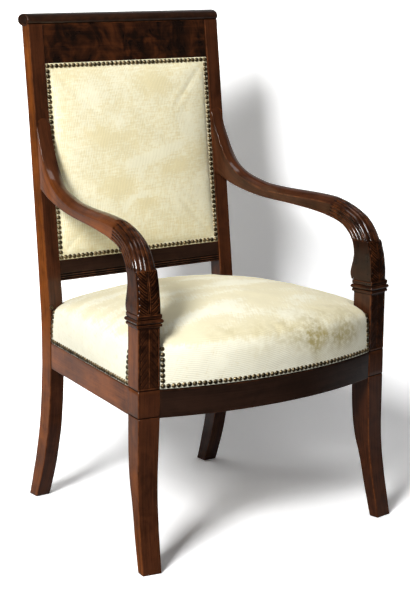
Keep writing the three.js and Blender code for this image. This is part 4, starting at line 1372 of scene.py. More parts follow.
def panel_sheet(inset, behind, low, high, sag=0):
    """A sheet over the back panel, drawn in a little in its middle."""
    half = PANEL_HALF_WIDTH - inset

    def place(share, side, along):
        across, up = [(along, -1), (1, along), (along, 1), (-1, along)][side]
        across, up = across * (1 - share), up * (1 - share)
        drawn = sag * (1 - across ** 2) * (1 - up ** 2)
        spot = (across * half, between(low, high, (up + 1) / 2))
        return back_place(spot[0], behind - drawn, spot[1]), spot

    return square_grid(56, place)


def back_hessian():
    bm = panel_sheet(
        FIT, BACK_SET_BACK + VELVET + 0.6 * MM,
        PANEL_MIDDLE - PANEL_HALF_HEIGHT + FIT, PANEL_MIDDLE + PANEL_HALF_HEIGHT - FIT,
    )
    piece = sheet_of(bm, "back_hessian_sheet", "hessian", "back_hessian", HESSIAN)


def rear_lining(sizes):
    low = up_the_back(PANEL_BOTTOM) - CLOTH_LAP
    high = up_the_back(PANEL_TOP) + CLOTH_LAP
    behind = BACK_SET_BACK + BACK_THICKNESS + FIT + 1.1 * MM
    bm = panel_sheet(0, behind, low, high, sag=2.5 * MM)
    lining = sheet_of(bm, "rear_lining", "lining", "rear_cloth", 1 * MM)
    gimp = gimp_band(sizes, low, high, behind + 0.2 * MM)


def gimp_band(sizes, low, high, behind):
    """A braid round the lining's edge, with two rows of raised loops."""
    half = Vector((PANEL_HALF_WIDTH, (high - low) / 2))
    middle = (low + high) / 2
    corners = box_corners(-1, 1, -1, 1)
    rings = []

    def spot(across, up, share, crown):
        inset = sizes.gimp_width * share
        return back_place(across * (half.x - inset), behind + crown, up * (half.y - inset) + middle)

    for k, here in enumerate(corners):
        after = corners[(k + 1) % 4]
        length = 2 * (half.x if k % 2 == 0 else half.y)
        steps = round(length / (sizes.braid_pitch / 4))
        for n in range(steps):
            across, up = here.lerp(after, n / steps)
            ring = []
            for share in (0, 0.12, 0.28, 0.42, 0.5, 0.58, 0.72, 0.88, 1):
                turn = 2 * math.pi * n / 4 + (math.pi if share > 0.5 else 0)
                loops = math.sin(turn) * (0.12 < share < 0.88)
                crown = 0 if share in (0, 1) else 0.55 * MM + 0.3 * MM * loops - 0.2 * MM * (share == 0.5)
                ring.append(spot(across, up, share, crown))
            for share in (0.85, 0.15):
                ring.append(spot(across, up, share, -0.1 * MM))
            rings.append(ring)
    return settle(skin(rings, closed_end=True), "rear_braid", "gimp", ["rear_gimp"], marked=False)


# Finishes

def fill(tree, node, inputs):
    """Sets a node's inputs to values, or joins them to other nodes' outputs."""
    for key, value in inputs.items():
        socket = node.inputs[key]
        if isinstance(value, bpy.types.NodeSocket):
            tree.links.new(value, socket)
        else:
            socket.default_value = value


def add(tree, kind, inputs=None, **settings):
    """Adds a node with its settings and inputs."""
    made = tree.nodes.new(kind)
    for key, value in settings.items():
        setattr(made, key, value)
    fill(tree, made, inputs or {})
    return made


def maths(tree, operation, first, second=0.0, third=0.0, clamp=False):
    made = add(tree, "ShaderNodeMath", {0: first, 1: second, 2: third}, operation=operation, use_clamp=clamp)
    return made.outputs[0]


def times(tree, first, second, clamp=False):
    return maths(tree, "MULTIPLY", first, second, clamp=clamp)


def times_add(tree, first, second, third):
    return maths(tree, "MULTIPLY_ADD", first, second, third)


def mixed(tree, factor, first, second):
    return add(tree, "ShaderNodeMix", {0: factor, 6: first, 7: second}, data_type="RGBA").outputs[2]


def rise(tree, value, low, high, start=0.0, end=1.0):
    """A smooth rise from start to end while value goes from low to high."""
    made = add(tree, "ShaderNodeMapRange",
               {0: value, 1: low, 2: high, 3: start, 4: end}, interpolation_type="SMOOTHSTEP")
    return made.outputs[0]


def stretched(tree, vector, scale):
    made = add(tree, "ShaderNodeVectorMath", {0: vector, 1: scale}, operation="MULTIPLY")
    return made.outputs[0]


def speckle(tree, vector, scale, detail=3.0, roughness=0.55, distortion=0.0):
    return add(tree, "ShaderNodeTexNoise", {
        "Vector": vector, "Scale": scale, "Detail": detail, "Roughness": roughness, "Distortion": distortion,
    }).outputs[0]


def mark(tree, name):
    return add(tree, "ShaderNodeAttribute", attribute_name=name).outputs["Fac"]


def object_place(tree):
    return add(tree, "ShaderNodeTexCoord").outputs["Object"]


def colour4(value):
    return (*value, 1.0)


def scaled(colour, share):
    return [share * part for part in colour]


def node_group(name, inputs, outputs, build):
    """A shader node group, built once."""
    if name in bpy.data.node_groups:
        return bpy.data.node_groups[name]
    tree = bpy.data.node_groups.new(name, "ShaderNodeTree")
    kinds = {"value": "NodeSocketFloat", "colour": "NodeSocketColor", "vector": "NodeSocketVector"}
    for label, kind in inputs:
        tree.interface.new_socket(name=label, in_out="INPUT", socket_type=kinds[kind])
    for label, kind in outputs:
        tree.interface.new_socket(name=label, in_out="OUTPUT", socket_type=kinds[kind])
    given = tree.nodes.new("NodeGroupInput").outputs
    wanted = tree.nodes.new("NodeGroupOutput").inputs
    for label, socket in build(tree, given).items():
        tree.links.new(socket, wanted[label])
    return tree


def use(tree, group, inputs):
    return add(tree, "ShaderNodeGroup", inputs, node_tree=group).outputs


def grain_group():
    """Streaks, short pores and broad figure along the second axis of a piece's own map."""
    def build(tree, given):
        vector = given["Vector"]
        broad = speckle(tree, stretched(tree, vector, (60, 4, 30)), 1, 4, 0.6, 0.6)
        streaks = speckle(tree, stretched(tree, vector, (420, 9, 200)), 1, 3, 0.65)
        fine = speckle(tree, stretched(tree, vector, (1500, 90, 700)), 1, 2, 0.5)
        pores = rise(tree, fine, 0.6, 0.72)
        mottle = speckle(tree, stretched(tree, vector, (25, 25, 25)), 1, 3, 0.5, 1.2)
        figure = times_add(tree, mottle, given["Figure"], times(tree, broad, 0.6))
        tone = times_add(tree, streaks, 0.45, figure)
        tone = rise(tree, tone, 0.5, 0.88)
        height = times_add(tree, pores, -0.6, times(tree, streaks, 0.25))
        return {"Tone": tone, "Pores": pores, "Height": height}

    return node_group(
        "Wood grain", [("Vector", "vector"), ("Figure", "value")],
        [("Tone", "value"), ("Pores", "value"), ("Height", "value")], build,
    )


def wear_group():
    """Rubbed edges and wax left in the hollows."""
    def build(tree, given):
        patchy = speckle(tree, given["Vector"], 60, 4, 0.65)
        rubbed = times(tree, given["Worn"], rise(tree, patchy, 0.35, 0.68), clamp=True)
        rubbed = times(tree, rubbed, given["Amount"], clamp=True)
        waxed = times(tree, given["Hollow"], rise(tree, patchy, 0.65, 0.25, 1, 1.8), clamp=True)
        colour = mixed(tree, rubbed, given["Color"], given["Rubbed Color"])
        colour = mixed(tree, waxed, colour, given["Wax Color"])
        return {"Color": colour, "Rubbed": rubbed, "Waxed": waxed}

    return node_group(
        "Edge wear",
        [("Vector", "vector"), ("Color", "colour"), ("Rubbed Color", "colour"), ("Wax Color", "colour"),
         ("Worn", "value"), ("Hollow", "value"), ("Amount", "value")],
        [("Color", "colour"), ("Rubbed", "value"), ("Waxed", "value")], build,
    )


def weave_group():
    """Threads over and under each other: their height and the shade between them."""
    def build(tree, given):
        split = add(tree, "ShaderNodeSeparateXYZ", {0: given["Vector"]}).outputs
        wobble = times_add(tree, speckle(tree, given["Vector"], 90, 2), 0.6, -0.3)
        across = maths(tree, "ADD", times(tree, split[0], given["Threads"]), wobble)
        along = maths(tree, "ADD", times(tree, split[1], given["Threads"]), wobble)
        warp = maths(tree, "ABSOLUTE", maths(tree, "SINE", times(tree, across, math.pi)))
        weft = maths(tree, "ABSOLUTE", maths(tree, "SINE", times(tree, along, math.pi)))
        parity = maths(tree, "ADD", maths(tree, "FLOOR", across), maths(tree, "FLOOR", along))
        over = maths(tree, "PINGPONG", parity, 1)
        under = maths(tree, "SUBTRACT", 1, over)
        raised_warp = times(tree, warp, times_add(tree, over, 0.5, 0.5))
        raised_weft = times(tree, weft, times_add(tree, under, 0.5, 0.5))
        height = maths(tree, "ADD", raised_warp, raised_weft)
        slub = speckle(tree, stretched(tree, given["Vector"], (900, 40, 1)), 1, 2)
        height = times(tree, height, 0.6)
        shade = times(tree, height, times_add(tree, slub, 0.9, 0.55), clamp=True)
        return {"Height": height, "Shade": shade}

    return node_group(
        "Weave", [("Vector", "vector"), ("Threads", "value")],
        [("Height", "value"), ("Shade", "value")], build,
    )


def pile_group():
    """Cords of cut pile along the first axis of the turned map, with painted shade in their furrows, brushed
    and crushed in patches; the lay of the pile carries the painted light on the seat's sides.
    """
    def build(tree, given):
        vector, turned = given["Vector"], given["Turned"]
        split = add(tree, "ShaderNodeSeparateXYZ", {0: turned}).outputs
        drift = times_add(tree, speckle(tree, vector, 25, 2), 1.6, -0.8)
        phase = times_add(tree, split[1], given["Cords"], drift)
        cord = maths(tree, "ABSOLUTE", maths(tree, "SINE", times(tree, phase, math.pi)))
        shown = rise(tree, speckle(tree, vector, 22, 3), 0.3, 0.62, 0.25, 1)
        # Painted shade in the furrows between the cords
        furrow_shade = times(tree, maths(tree, "SUBTRACT", 1, cord), shown)
        tuft = speckle(tree, stretched(tree, turned, (240, 800, 1)), 1, 2, 0.6)
        long_way = speckle(tree, stretched(tree, turned, (70, 420, 1)), 1, 3, 0.6)
        cross_way = speckle(tree, stretched(tree, turned, (330, 45, 1)), 1, 3, 0.6)
        patches = speckle(tree, stretched(tree, turned, (45, 75, 1)), 1, 5, 0.72, 0.4)
        light = times_add(tree, long_way, 0.5, times(tree, patches, 0.4))
        light = times_add(tree, cross_way, 0.55, light)
        # The lay of the pile, which on the seat's sides is painted light
        light = times_add(tree, given["Crushed"], 0.5, light)
        light = rise(tree, light, 0.84, 1.1)
        height = times_add(tree, cord, 0.6, times(tree, tuft, 0.6))
        height = times_add(tree, cross_way, 0.5, height)
        return {"Light": light, "Height": height, "Furrow": furrow_shade}

    return node_group(
        "Cut pile", [("Vector", "vector"), ("Turned", "vector"), ("Cords", "value"), ("Crushed", "value")],
        [("Light", "value"), ("Height", "value"), ("Furrow", "value")], build,
    )


def new_material(name):
    material = bpy.data.materials.new(name)
    material.use_nodes = True
    tree = material.node_tree
    shader = next(node for node in tree.nodes if node.type == "BSDF_PRINCIPLED")
    return material, tree, shader


def bump(tree, shader, height, strength, distance):
    made = add(tree, "ShaderNodeBump", {"Strength": strength, "Distance": distance, "Height": height})
    fill(tree, shader, {"Normal": made.outputs[0]})


def surface_map(tree):
    return add(tree, "ShaderNodeUVMap", uv_map=UVS).outputs[0]


def worn_down(tree, shader, place, colour, rubbed, wax, amount):
    """Gives a finish its rubbed edges and its wax, and returns where they are."""
    worn = use(tree, wear_group(), {
        "Vector": place, "Color": colour, "Rubbed Color": colour4(rubbed), "Wax Color": colour4(wax),
        "Worn": mark(tree, "worn"), "Hollow": mark(tree, "hollow"), "Amount": amount,
    })
    fill(tree, shader, {"Base Color": worn["Color"]})
    return worn


def polish(tree, shader, worn, smear):
    """A clear coat that is thin where it is smeared or waxed."""
    clean = times_add(tree, smear, -0.5, 1.0)
    kept = maths(tree, "SUBTRACT", 1, worn["Waxed"])
    fill(tree, shader, {
        "Roughness": 0.45, "Specular IOR Level": 0.04, "Coat Roughness": 0.12, "Coat IOR": 1.42,
        "Coat Weight": times(tree, clean, kept, clamp=True),
    })


def polished_wood(name, dark, light, faded, rubbed, wear):
    """French polished wood: streaked figure, pores, outer faces lighter as fading and painted light, darker
    crooks and post fronts from handling and painted shade, rubbed edges and dark wax.
    """
    material, tree, shader = new_material(name)
    vector = surface_map(tree)
    grain = use(tree, grain_group(), {"Vector": vector, "Figure": 0.35})
    colour = mixed(tree, grain["Tone"], colour4(dark), colour4(light))
    # Lighter wood on outward faces: fading, and painted light of the lamp on the left
    lit_and_bleached = mixed(tree, grain["Tone"], colour4(scaled(faded, 0.42)), colour4(faded))
    place = object_place(tree)
    uneven = rise(tree, speckle(tree, place, 9, 3), 0.35, 0.65, 0.5, 1.1)
    light_and_fading = times(tree, mark(tree, "faded"), uneven, clamp=True)
    colour = mixed(tree, light_and_fading, colour, lit_and_bleached)
    pores = times(tree, grain["Pores"], 0.5)
    colour = mixed(tree, pores, colour, colour4(scaled(dark, 0.3)))
    # Darker crooks from handling, and darker post fronts as painted shade
    blotches = rise(tree, speckle(tree, place, 45, 4), 0.3, 0.6, 0.95, 0.65)
    handled = times(tree, mark(tree, "handled"), blotches)
    colour = mixed(tree, handled, colour, colour4(scaled(dark, 0.25)))
    worn = worn_down(tree, shader, place, colour, rubbed, scaled(dark, 0.25), wear)
    polish(tree, shader, worn, speckle(tree, place, 35, 4, 0.6))
    bump(tree, shader, grain["Height"], 0.2, 0.1 * MM)
    return material


def flame_wood(name, dark, light, rubbed):
    """Veneer with a mottled flame figure rising from the middle of the board."""
    material, tree, shader = new_material(name)
    place = object_place(tree)
    vector = surface_map(tree)
    bent = add(tree, "ShaderNodeTexNoise", {"Vector": place, "Scale": 7.0, "Detail": 3.0}).outputs[1]
    swirl = stretched(tree, bent, (0.12, 0.12, 0.12))
    drifted = add(tree, "ShaderNodeVectorMath", {0: place, 1: swirl}, operation="ADD").outputs[0]
    plume = speckle(tree, stretched(tree, drifted, (34, 10, 16)), 1, 4, 0.55, 0.8)
    mottle = speckle(tree, stretched(tree, drifted, (50, 20, 70)), 1, 2, 0.5, 0.3)
    grain = use(tree, grain_group(), {"Vector": vector, "Figure": 0.2})
    tone = times_add(tree, plume, 0.75, times(tree, mottle, 0.3))
    tone = times_add(tree, grain["Tone"], 0.12, tone)
    colour = mixed(tree, rise(tree, tone, 0.44, 0.84), colour4(dark), colour4(light))
    worn = worn_down(tree, shader, place, colour, rubbed, scaled(dark, 0.3), 0.6)
    polish(tree, shader, worn, speckle(tree, place, 30, 4, 0.6))
    bump(tree, shader, grain["Height"], 0.15, 0.08 * MM)
    return material


def raw_wood(name, dark, light):
    """Planed beech with flecks, on a node that has no map of its own."""
    material, tree, shader = new_material(name)
    place = object_place(tree)
    turned = add(tree, "ShaderNodeMapping", {"Vector": place, "Rotation": (0, math.pi / 2, 0.6)}).outputs[0]
    grain = use(tree, grain_group(), {"Vector": turned, "Figure": 0.2})
    flecks = rise(tree, speckle(tree, stretched(tree, turned, (900, 160, 900)), 1, 2), 0.62, 0.7)
    colour = mixed(tree, grain["Tone"], colour4(dark), colour4(light))
    colour = mixed(tree, times(tree, flecks, 0.45), colour, colour4(scaled(dark, 0.5)))
    grime = rise(tree, speckle(tree, place, 30, 4), 0.45, 0.8, 0, 0.5)
    colour = mixed(tree, grime, colour, colour4(scaled(dark, 0.35)))
    fill(tree, shader, {"Base Color": colour, "Roughness": 0.72})
    bump(tree, shader, grain["Height"], 0.5, 0.2 * MM)
    return material


def cut_pile(name, light, gold, rubbed, turn, rub=True):
    """Velvet in fine cords with painted shade in their furrows, brushed light and dark with painted light on
    the seat's sides, and rubbed down to its ground where it wears.
    """
    material, tree, shader = new_material(name)
    vector = surface_map(tree)
    turned = add(tree, "ShaderNodeMapping", {"Vector": vector, "Rotation": (0, 0, turn)}).outputs[0]
    pile = use(tree, pile_group(), {
        "Vector": vector, "Turned": turned, "Cords": CORDS_PER_METRE, "Crushed": mark(tree, "crushed"),
    })
    # Two tones of pile; on the seat its sides are lighter as painted light
    colour = mixed(tree, pile["Light"], colour4(gold), colour4(light))
    # Painted shade: darker in the furrows between the cords
    furrow_shading = times(tree, pile["Furrow"], 0.45)
    colour = mixed(tree, furrow_shading, colour, colour4(scaled(gold, 0.6)))
    if rub:
        place = object_place(tree)
        patchy = rise(tree, speckle(tree, place, 90, 5, 0.65), 0.32, 0.62, 0.35, 1.2)
        bare = times(tree, mark(tree, "rubbed"), patchy)
        colour = mixed(tree, times(tree, bare, 0.85, clamp=True), colour, colour4(rubbed))
    fill(tree, shader, {
        "Base Color": colour, "Roughness": 0.9, "Specular IOR Level": 0.2,
        "Sheen Weight": 0.2, "Sheen Roughness": 0.45, "Sheen Tint": (1.0, 0.96, 0.85, 1.0),
    })
    bump(tree, shader, pile["Height"], 0.6, 0.45 * MM)
    return material


def woven(name, dark, light, threads, relief):
    """Plain woven cloth, with slubs in its threads."""
    material, tree, shader = new_material(name)
    vector = surface_map(tree)
    weave = use(tree, weave_group(), {"Vector": vector, "Threads": threads})
    soiled = rise(tree, speckle(tree, stretched(tree, vector, (12, 12, 1)), 1, 4), 0.3, 0.75)
    colour = mixed(tree, weave["Shade"], colour4(dark), colour4(light))
    colour = mixed(tree, times(tree, soiled, 0.35), colour, colour4(scaled(dark, 0.7)))
    fill(tree, shader, {"Base Color": colour, "Roughness": 0.92, "Sheen Weight": 0.1})
    bump(tree, shader, weave["Height"], 0.7, relief)
    return material


def aged_brass(name, dark, light):
    """Antiqued nail heads: dark lacquer with the crowns rubbed bright."""
    material, tree, shader = new_material(name)
    place = object_place(tree)
    spots = speckle(tree, place, 420, 3, 0.6)
    tone = times_add(tree, mark(tree, "tone"), 0.5, times(tree, spots, 0.7))
    colour = mixed(tree, rise(tree, tone, 0.3, 0.95), colour4(dark), colour4(light))
    roughness = rise(tree, spots, 0.3, 0.7, 0.28, 0.48)
    fill(tree, shader, {"Base Color": colour, "Metallic": 1.0, "Roughness": roughness})
    bump(tree, shader, spots, 0.3, 0.15 * MM)
    return material


def finish_named(name):
    """The finish of that name, built when the first piece asks for it."""
    label = f"{name}_finish"
    if label in bpy.data.materials:
        return bpy.data.materials[label]
    tints = bpy.context.scene.fauteuil_colours
    makers = {
        "mahogany": lambda: polished_wood(
            label, scaled(tints.mahogany, 0.35), tints.mahogany,
            tints.faded_mahogany, tints.rubbed_edge, 0.55),
        "dark_mahogany": lambda: polished_wood(
            label, scaled(tints.dark_mahogany, 0.5), tints.dark_mahogany,
            tints.faded_mahogany, tints.rubbed_edge, 0.4),
        "flame_mahogany": lambda: flame_wood(
            label, scaled(tints.dark_mahogany, 0.3), tints.flame, tints.rubbed_edge),
        "beech": lambda: raw_wood(label, scaled(tints.beech, 0.6), tints.beech),
        # The seat's velvet uses paler tints than the back's: painted light of the brighter seat
        "velvet": lambda: cut_pile(
            label, tints.seat_velvet, tints.seat_velvet_shade, tints.velvet_worn, SEAT_BRUSHED),
        "back_velvet": lambda: cut_pile(
            label, tints.velvet, tints.velvet_shade, tints.velvet_worn, BACK_BRUSHED, rub=False),
        "webbing": lambda: woven(label, scaled(tints.jute, 0.4), tints.jute, 650.0, 0.4 * MM),
        "hessian": lambda: woven(label, scaled(tints.hessian, 0.35), tints.hessian, 520.0, 0.5 * MM),
        "lining": lambda: woven(label, scaled(tints.linen, 0.6), tints.linen, 900.0, 0.25 * MM),
        "gimp": lambda: woven(label, scaled(tints.gimp, 0.5), tints.gimp, 800.0, 0.4 * MM),
        "brass": lambda: aged_brass(label, scaled(tints.brass, 0.25), tints.brass),
    }
    return makers[name]()


# What a user may change

def length(name, description, default):
    return FloatProperty(
        name=name, description=description, default=default, min=0, unit="LENGTH", precision=4,
    )


def tint(name, description, default):
    return FloatVectorProperty(
        name=name, description=description, default=default, subtype="COLOR", size=3, min=0, max=1,
    )


class FauteuilSizes(bpy.types.PropertyGroup):
    """Sizes of the details that the frame leaves open"""
    edge_softness: length("Edge softness", "How far the wood's corners are rounded", 1.6 * MM)
    scribe_depth: length("Line depth", "Depth of the incised lines on the posts and the back rail", 1 * MM)
    panel_depth: length("Panel depth", "Depth of the carving on the front posts", 1.3 * MM)
    panel_lobe: length("Panel lobe", "Height of one lobe of the carving on the front posts", 13 * MM)
    leaf_depth: length("Leaf depth", "Depth of the leaf carved under the reeds of the arms", 2 * MM)
    leaf_lobe: length("Leaf lobe", "Height of one lobe of the leaf on the arms", 11 * MM)
    carving_step: length(
        "Carving step", "Distance between the rows of places that carry the carving", 1.1 * MM)
    reed_depth: length("Reed depth", "Depth of the grooves between the reeds of the arms", 2.4 * MM)
    nail_pitch: length("Nail pitch", "Distance between nails", 9.5 * MM)
    nail_radius: length("Nail radius", "Radius of a nail head", 4.5 * MM)
    nail_height: length("Nail height", "Height of a nail head's dome", 3 * MM)
    swelling: length("Swelling", "How far the stuffing pushes the velvet out", 2.5 * MM)
    unevenness: length("Unevenness", "How far the seat's surface wanders from its drawn form", 1.6 * MM)
    tuck_reach: length("Tuck reach", "How far from a post the velvet starts to turn down", 15 * MM)
    tuck_depth: length("Tuck depth", "How far the velvet is tucked down beside a post", 8 * MM)
    strap_width: length("Strap width", "Width of the webbing", 50 * MM)
    gimp_width: length("Gimp width", "Width of the braid round the lining", 10 * MM)
    braid_pitch: length("Braid pitch", "Distance between the loops of the braid", 4.5 * MM)


class FauteuilColours(bpy.types.PropertyGroup):
    """Colours of the finishes"""
    mahogany: tint("Mahogany", "Polished wood of the posts, arms and side rails", (0.068, 0.02, 0.007))
    dark_mahogany: tint(
        "Dark mahogany", "Polished wood of the roll, front rail and back rail", (0.026, 0.011, 0.006))
    # Lighter wood of the outward faces: fading, and painted light of the lamp on the left
    faded_mahogany: tint(
        "Faded mahogany", "Wood of the outer faces, bleached by light", (0.25, 0.066, 0.009))
    rubbed_edge: tint("Rubbed edge", "Wood where the polish is rubbed off the edges", (0.2, 0.06, 0.016))
    flame: tint("Flame figure", "Light part of the crest board's figure", (0.075, 0.021, 0.006))
    beech: tint("Beech", "Raw wood of the corner blocks", (0.5, 0.34, 0.19))
    velvet: tint("Velvet", "Pile brushed towards the light", (0.96, 0.91, 0.67))
    velvet_shade: tint("Velvet shade", "Pile brushed away from the light", (0.86, 0.76, 0.46))
    # The seat's velvet: the back's cloth made paler, as painted light of the brighter seat
    seat_velvet: tint("Seat velvet", "Pile of the seat brushed towards the light", (0.95, 0.92, 0.74))
    seat_velvet_shade: tint(
        "Seat velvet shade", "Pile of the seat brushed away from the light", (0.84, 0.77, 0.53))
    velvet_worn: tint("Worn velvet", "Ground where the pile is rubbed away", (0.45, 0.37, 0.15))
    jute: tint("Jute", "Webbing", (0.45, 0.32, 0.17))
    hessian: tint("Hessian", "Cloth under the stuffing", (0.48, 0.36, 0.2))
    linen: tint("Linen", "Lining behind the back", (0.7, 0.64, 0.48))
    gimp: tint("Gimp", "Braid round the lining", (0.66, 0.57, 0.36))
    brass: tint("Brass", "Nail heads", (0.26, 0.19, 0.1))
    floor: tint("Floor", "Floor and backdrop", (0.48, 0.48, 0.48))


class FAUTEUIL_OT_front_legs(bpy.types.Operator):
    """Shapes the front legs with their posts, carved panels and collars"""
    bl_idname = "fauteuil.front_legs"
    bl_label = "Front legs"

    def execute(self, context):
        rings = front_leg_rings(context.scene.fauteuil_sizes)
        pair(rings, "front_leg", "front_leg")
        return {"FINISHED"}


class FAUTEUIL_OT_rear_posts(bpy.types.Operator):
    """Shapes the rear legs and leaning stiles"""
    bl_idname = "fauteuil.rear_posts"
    bl_label = "Rear posts"

    def execute(self, context):
        rings = rear_post_rings(context.scene.fauteuil_sizes)
        pair(rings, "rear_post", "rear_post")
        return {"FINISHED"}


class FAUTEUIL_OT_arms(bpy.types.Operator):
    """Shapes the scrolled arms with their reeds and carved leaves"""
    bl_idname = "fauteuil.arms"
    bl_label = "Arms"

    def execute(self, context):
        rings = arm_rings(context.scene.fauteuil_sizes)
        pair(rings, "arm", "arm", bend_radius=2.5 * MM)
        return {"FINISHED"}


class FAUTEUIL_OT_seat_rails(bpy.types.Operator):
    """Shapes the side, front and rear rails of the seat"""
    bl_idname = "fauteuil.seat_rails"
    bl_label = "Seat rails"

    def execute(self, context):
        sizes = context.scene.fauteuil_sizes
        pair(side_rail_rings(sizes), "side_rail", "side_seat_rail")
        settle(skin(front_rail_rings(sizes)), "front_rail", "dark_mahogany", ["front_seat_rail"])
        settle(skin(rear_rail_rings(sizes)), "rear_rail", "mahogany", ["rear_seat_rail"])
        return {"FINISHED"}


class FAUTEUIL_OT_corner_blocks(bpy.types.Operator):
    """Gives the glued corner blocks their raw wood"""
    bl_idname = "fauteuil.corner_blocks"
    bl_label = "Corner blocks"

    def execute(self, context):
        for name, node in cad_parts.items():
            if name.endswith("corner_block"):
                node.data.materials.clear()
                node.data.materials.append(finish_named("beech"))
        return {"FINISHED"}


class FAUTEUIL_OT_back_members(bpy.types.Operator):
    """Shapes the lower back rail and the crest board"""
    bl_idname = "fauteuil.back_members"
    bl_label = "Back rail and crest board"

    def execute(self, context):
        sizes = context.scene.fauteuil_sizes
        rail = back_member_rings(sizes, BACK_RAIL_BOTTOM, PANEL_BOTTOM, (4 * MM, 8 * MM, 12.5 * MM))
        settle(skin(rail), "back_member_low", "dark_mahogany", ["lower_back_rail"])
        board = back_member_rings(sizes, PANEL_TOP, STILE_TOP)
        settle(skin(board), "crest_board_front", "flame_mahogany", ["crest_board"])
        return {"FINISHED"}


class FAUTEUIL_OT_crest_roll(bpy.types.Operator):
    """Turns the oval roll along the top, with a ring sunk in each end"""
    bl_idname = "fauteuil.crest_roll"
    bl_label = "Crest roll"

    def execute(self, context):
        settle(skin(crest_roll_rings()), "crest_roll_oval", "dark_mahogany", ["crest_roll"])
        return {"FINISHED"}


class FAUTEUIL_OT_seat_upholstery(bpy.types.Operator):
    """Stretches webbing and hessian over the seat frame and fills the velvet cushion"""
    bl_idname = "fauteuil.seat_upholstery"
    bl_label = "Seat upholstery"

    def execute(self, context):
        sizes = context.scene.fauteuil_sizes
        seat_straps(sizes)
        seat_hessian()
        seat_cushion(sizes)
        return {"FINISHED"}


class FAUTEUIL_OT_back_upholstery(bpy.types.Operator):
    """Stretches webbing and hessian in the back and fills the velvet cushion"""
    bl_idname = "fauteuil.back_upholstery"
    bl_label = "Back upholstery"

    def execute(self, context):
        sizes = context.scene.fauteuil_sizes
        back_straps(sizes)
        back_hessian()
        back_cushion(sizes)
        return {"FINISHED"}


class FAUTEUIL_OT_rear_lining(bpy.types.Operator):
    """Covers the rear of the back with lining and braid"""
    bl_idname = "fauteuil.rear_lining"
    bl_label = "Rear lining"

    def execute(self, context):
        rear_lining(context.scene.fauteuil_sizes)
        return {"FINISHED"}


class FAUTEUIL_OT_seat_nails(bpy.types.Operator):
    """Drives the nails round the seat and up beside the posts"""
    bl_idname = "fauteuil.seat_nails"
    bl_label = "Seat nails"

    def execute(self, context):
        sizes = context.scene.fauteuil_sizes
        pitch = sizes.nail_pitch
        low = CLOTH_LINE + NAIL_EDGE
        radius = BOW_RADIUS + FIT
        half = math.asin((abs(FRONT_CORNER.x) - NAIL_EDGE - FIT) / radius) * radius
        front = nail_places(arched(half, low, SIDE_NAIL_TOP), front_nail_surface, pitch)
        nail_piece("seat_nails_front", front, "seat_cushion", ["front_seat_nails"], sizes, 1)
        start, end = side_nail_span()
        side = nail_places(arched((end - start) / 2, low, SIDE_NAIL_TOP), side_nail_surface, pitch)
        nail_piece("seat_nails_left", side, "seat_cushion", ["left_side_seat_nails"], sizes, 2)
        flip = Matrix.Diagonal((-1, 1, 1))
        nail_piece(
            "seat_nails_right", [(flip @ place, flip @ out) for place, out in side],
            "seat_cushion", ["right_side_seat_nails"], sizes, 3,
        )
        half = STILE_INNER - NAIL_EDGE - FIT
        rear = nail_places(arched(half, low, SIDE_NAIL_TOP - SEAT_REAR_DROP), rear_nail_surface, pitch)
        nail_piece("seat_nails_rear", rear, "seat_cushion", ["rear_seat_nails"], sizes, 4)
        return {"FINISHED"}


class FAUTEUIL_OT_back_nails(bpy.types.Operator):
    """Drives the nails round the back panel"""
    bl_idname = "fauteuil.back_nails"
    bl_label = "Back nails"

    def execute(self, context):
        sizes = context.scene.fauteuil_sizes
        across = PANEL_HALF_WIDTH - NAIL_EDGE
        up = PANEL_HALF_HEIGHT - NAIL_EDGE
        end = up - 2 * sizes.nail_radius - 2 * FIT
        rows = (
            ("top", Vector((-across, up)), Vector((across, up))),
            ("bottom", Vector((-across, -up)), Vector((across, -up))),
            ("left", Vector((-across, -end)), Vector((-across, end))),
            ("right", Vector((across, -end)), Vector((across, end))),
        )
        for seed, (name, start, stop) in enumerate(rows):
            places = nail_places([start, stop], panel_nail_surface, sizes.nail_pitch)
            nail_piece(f"back_nails_{name}", places, "back_cushion", [f"{name}_back_nails"], sizes, 5 + seed)
        return {"FINISHED"}


def lamp(name, place, width, height, power):
    """A soft rectangular lamp turned to the chair."""
    light = bpy.data.lights.new(name, "AREA")
    light.shape = "RECTANGLE"
    light.size, light.size_y = width, height
    light.energy = power
    made = put_in_scene(name, light)
    made.location = place
    made.rotation_euler = (Vector(LAMP_TARGET) - Vector(place)).to_track_quat("-Z", "Y").to_euler()


def how_far_behind(tree, place):
    """How far a place or way lies beyond the chair, seen from the camera."""
    behind = add(tree, "ShaderNodeVectorMath", {0: place, 1: -CAMERA_BACK}, operation="DOT_PRODUCT")
    return behind.outputs["Value"]


def seen_straight(tree):
    """1 for what the camera sees directly or through glass, and 0 for the rest."""
    rays = add(tree, "ShaderNodeLightPath").outputs
    return maths(tree, "MAXIMUM", rays["Is Camera Ray"], rays["Is Transmission Ray"])


def shown(tree, reach, soft, pale, dim):
    """Pale for the camera, for glass, and in gloss as far as the background reaches; soft as a light."""
    glossy = add(tree, "ShaderNodeLightPath").outputs["Is Glossy Ray"]
    in_gloss = mixed(tree, reach, colour4(dim), colour4(pale))
    colour = mixed(tree, glossy, colour4(soft), in_gloss)
    return mixed(tree, seen_straight(tree), colour, colour4(pale))


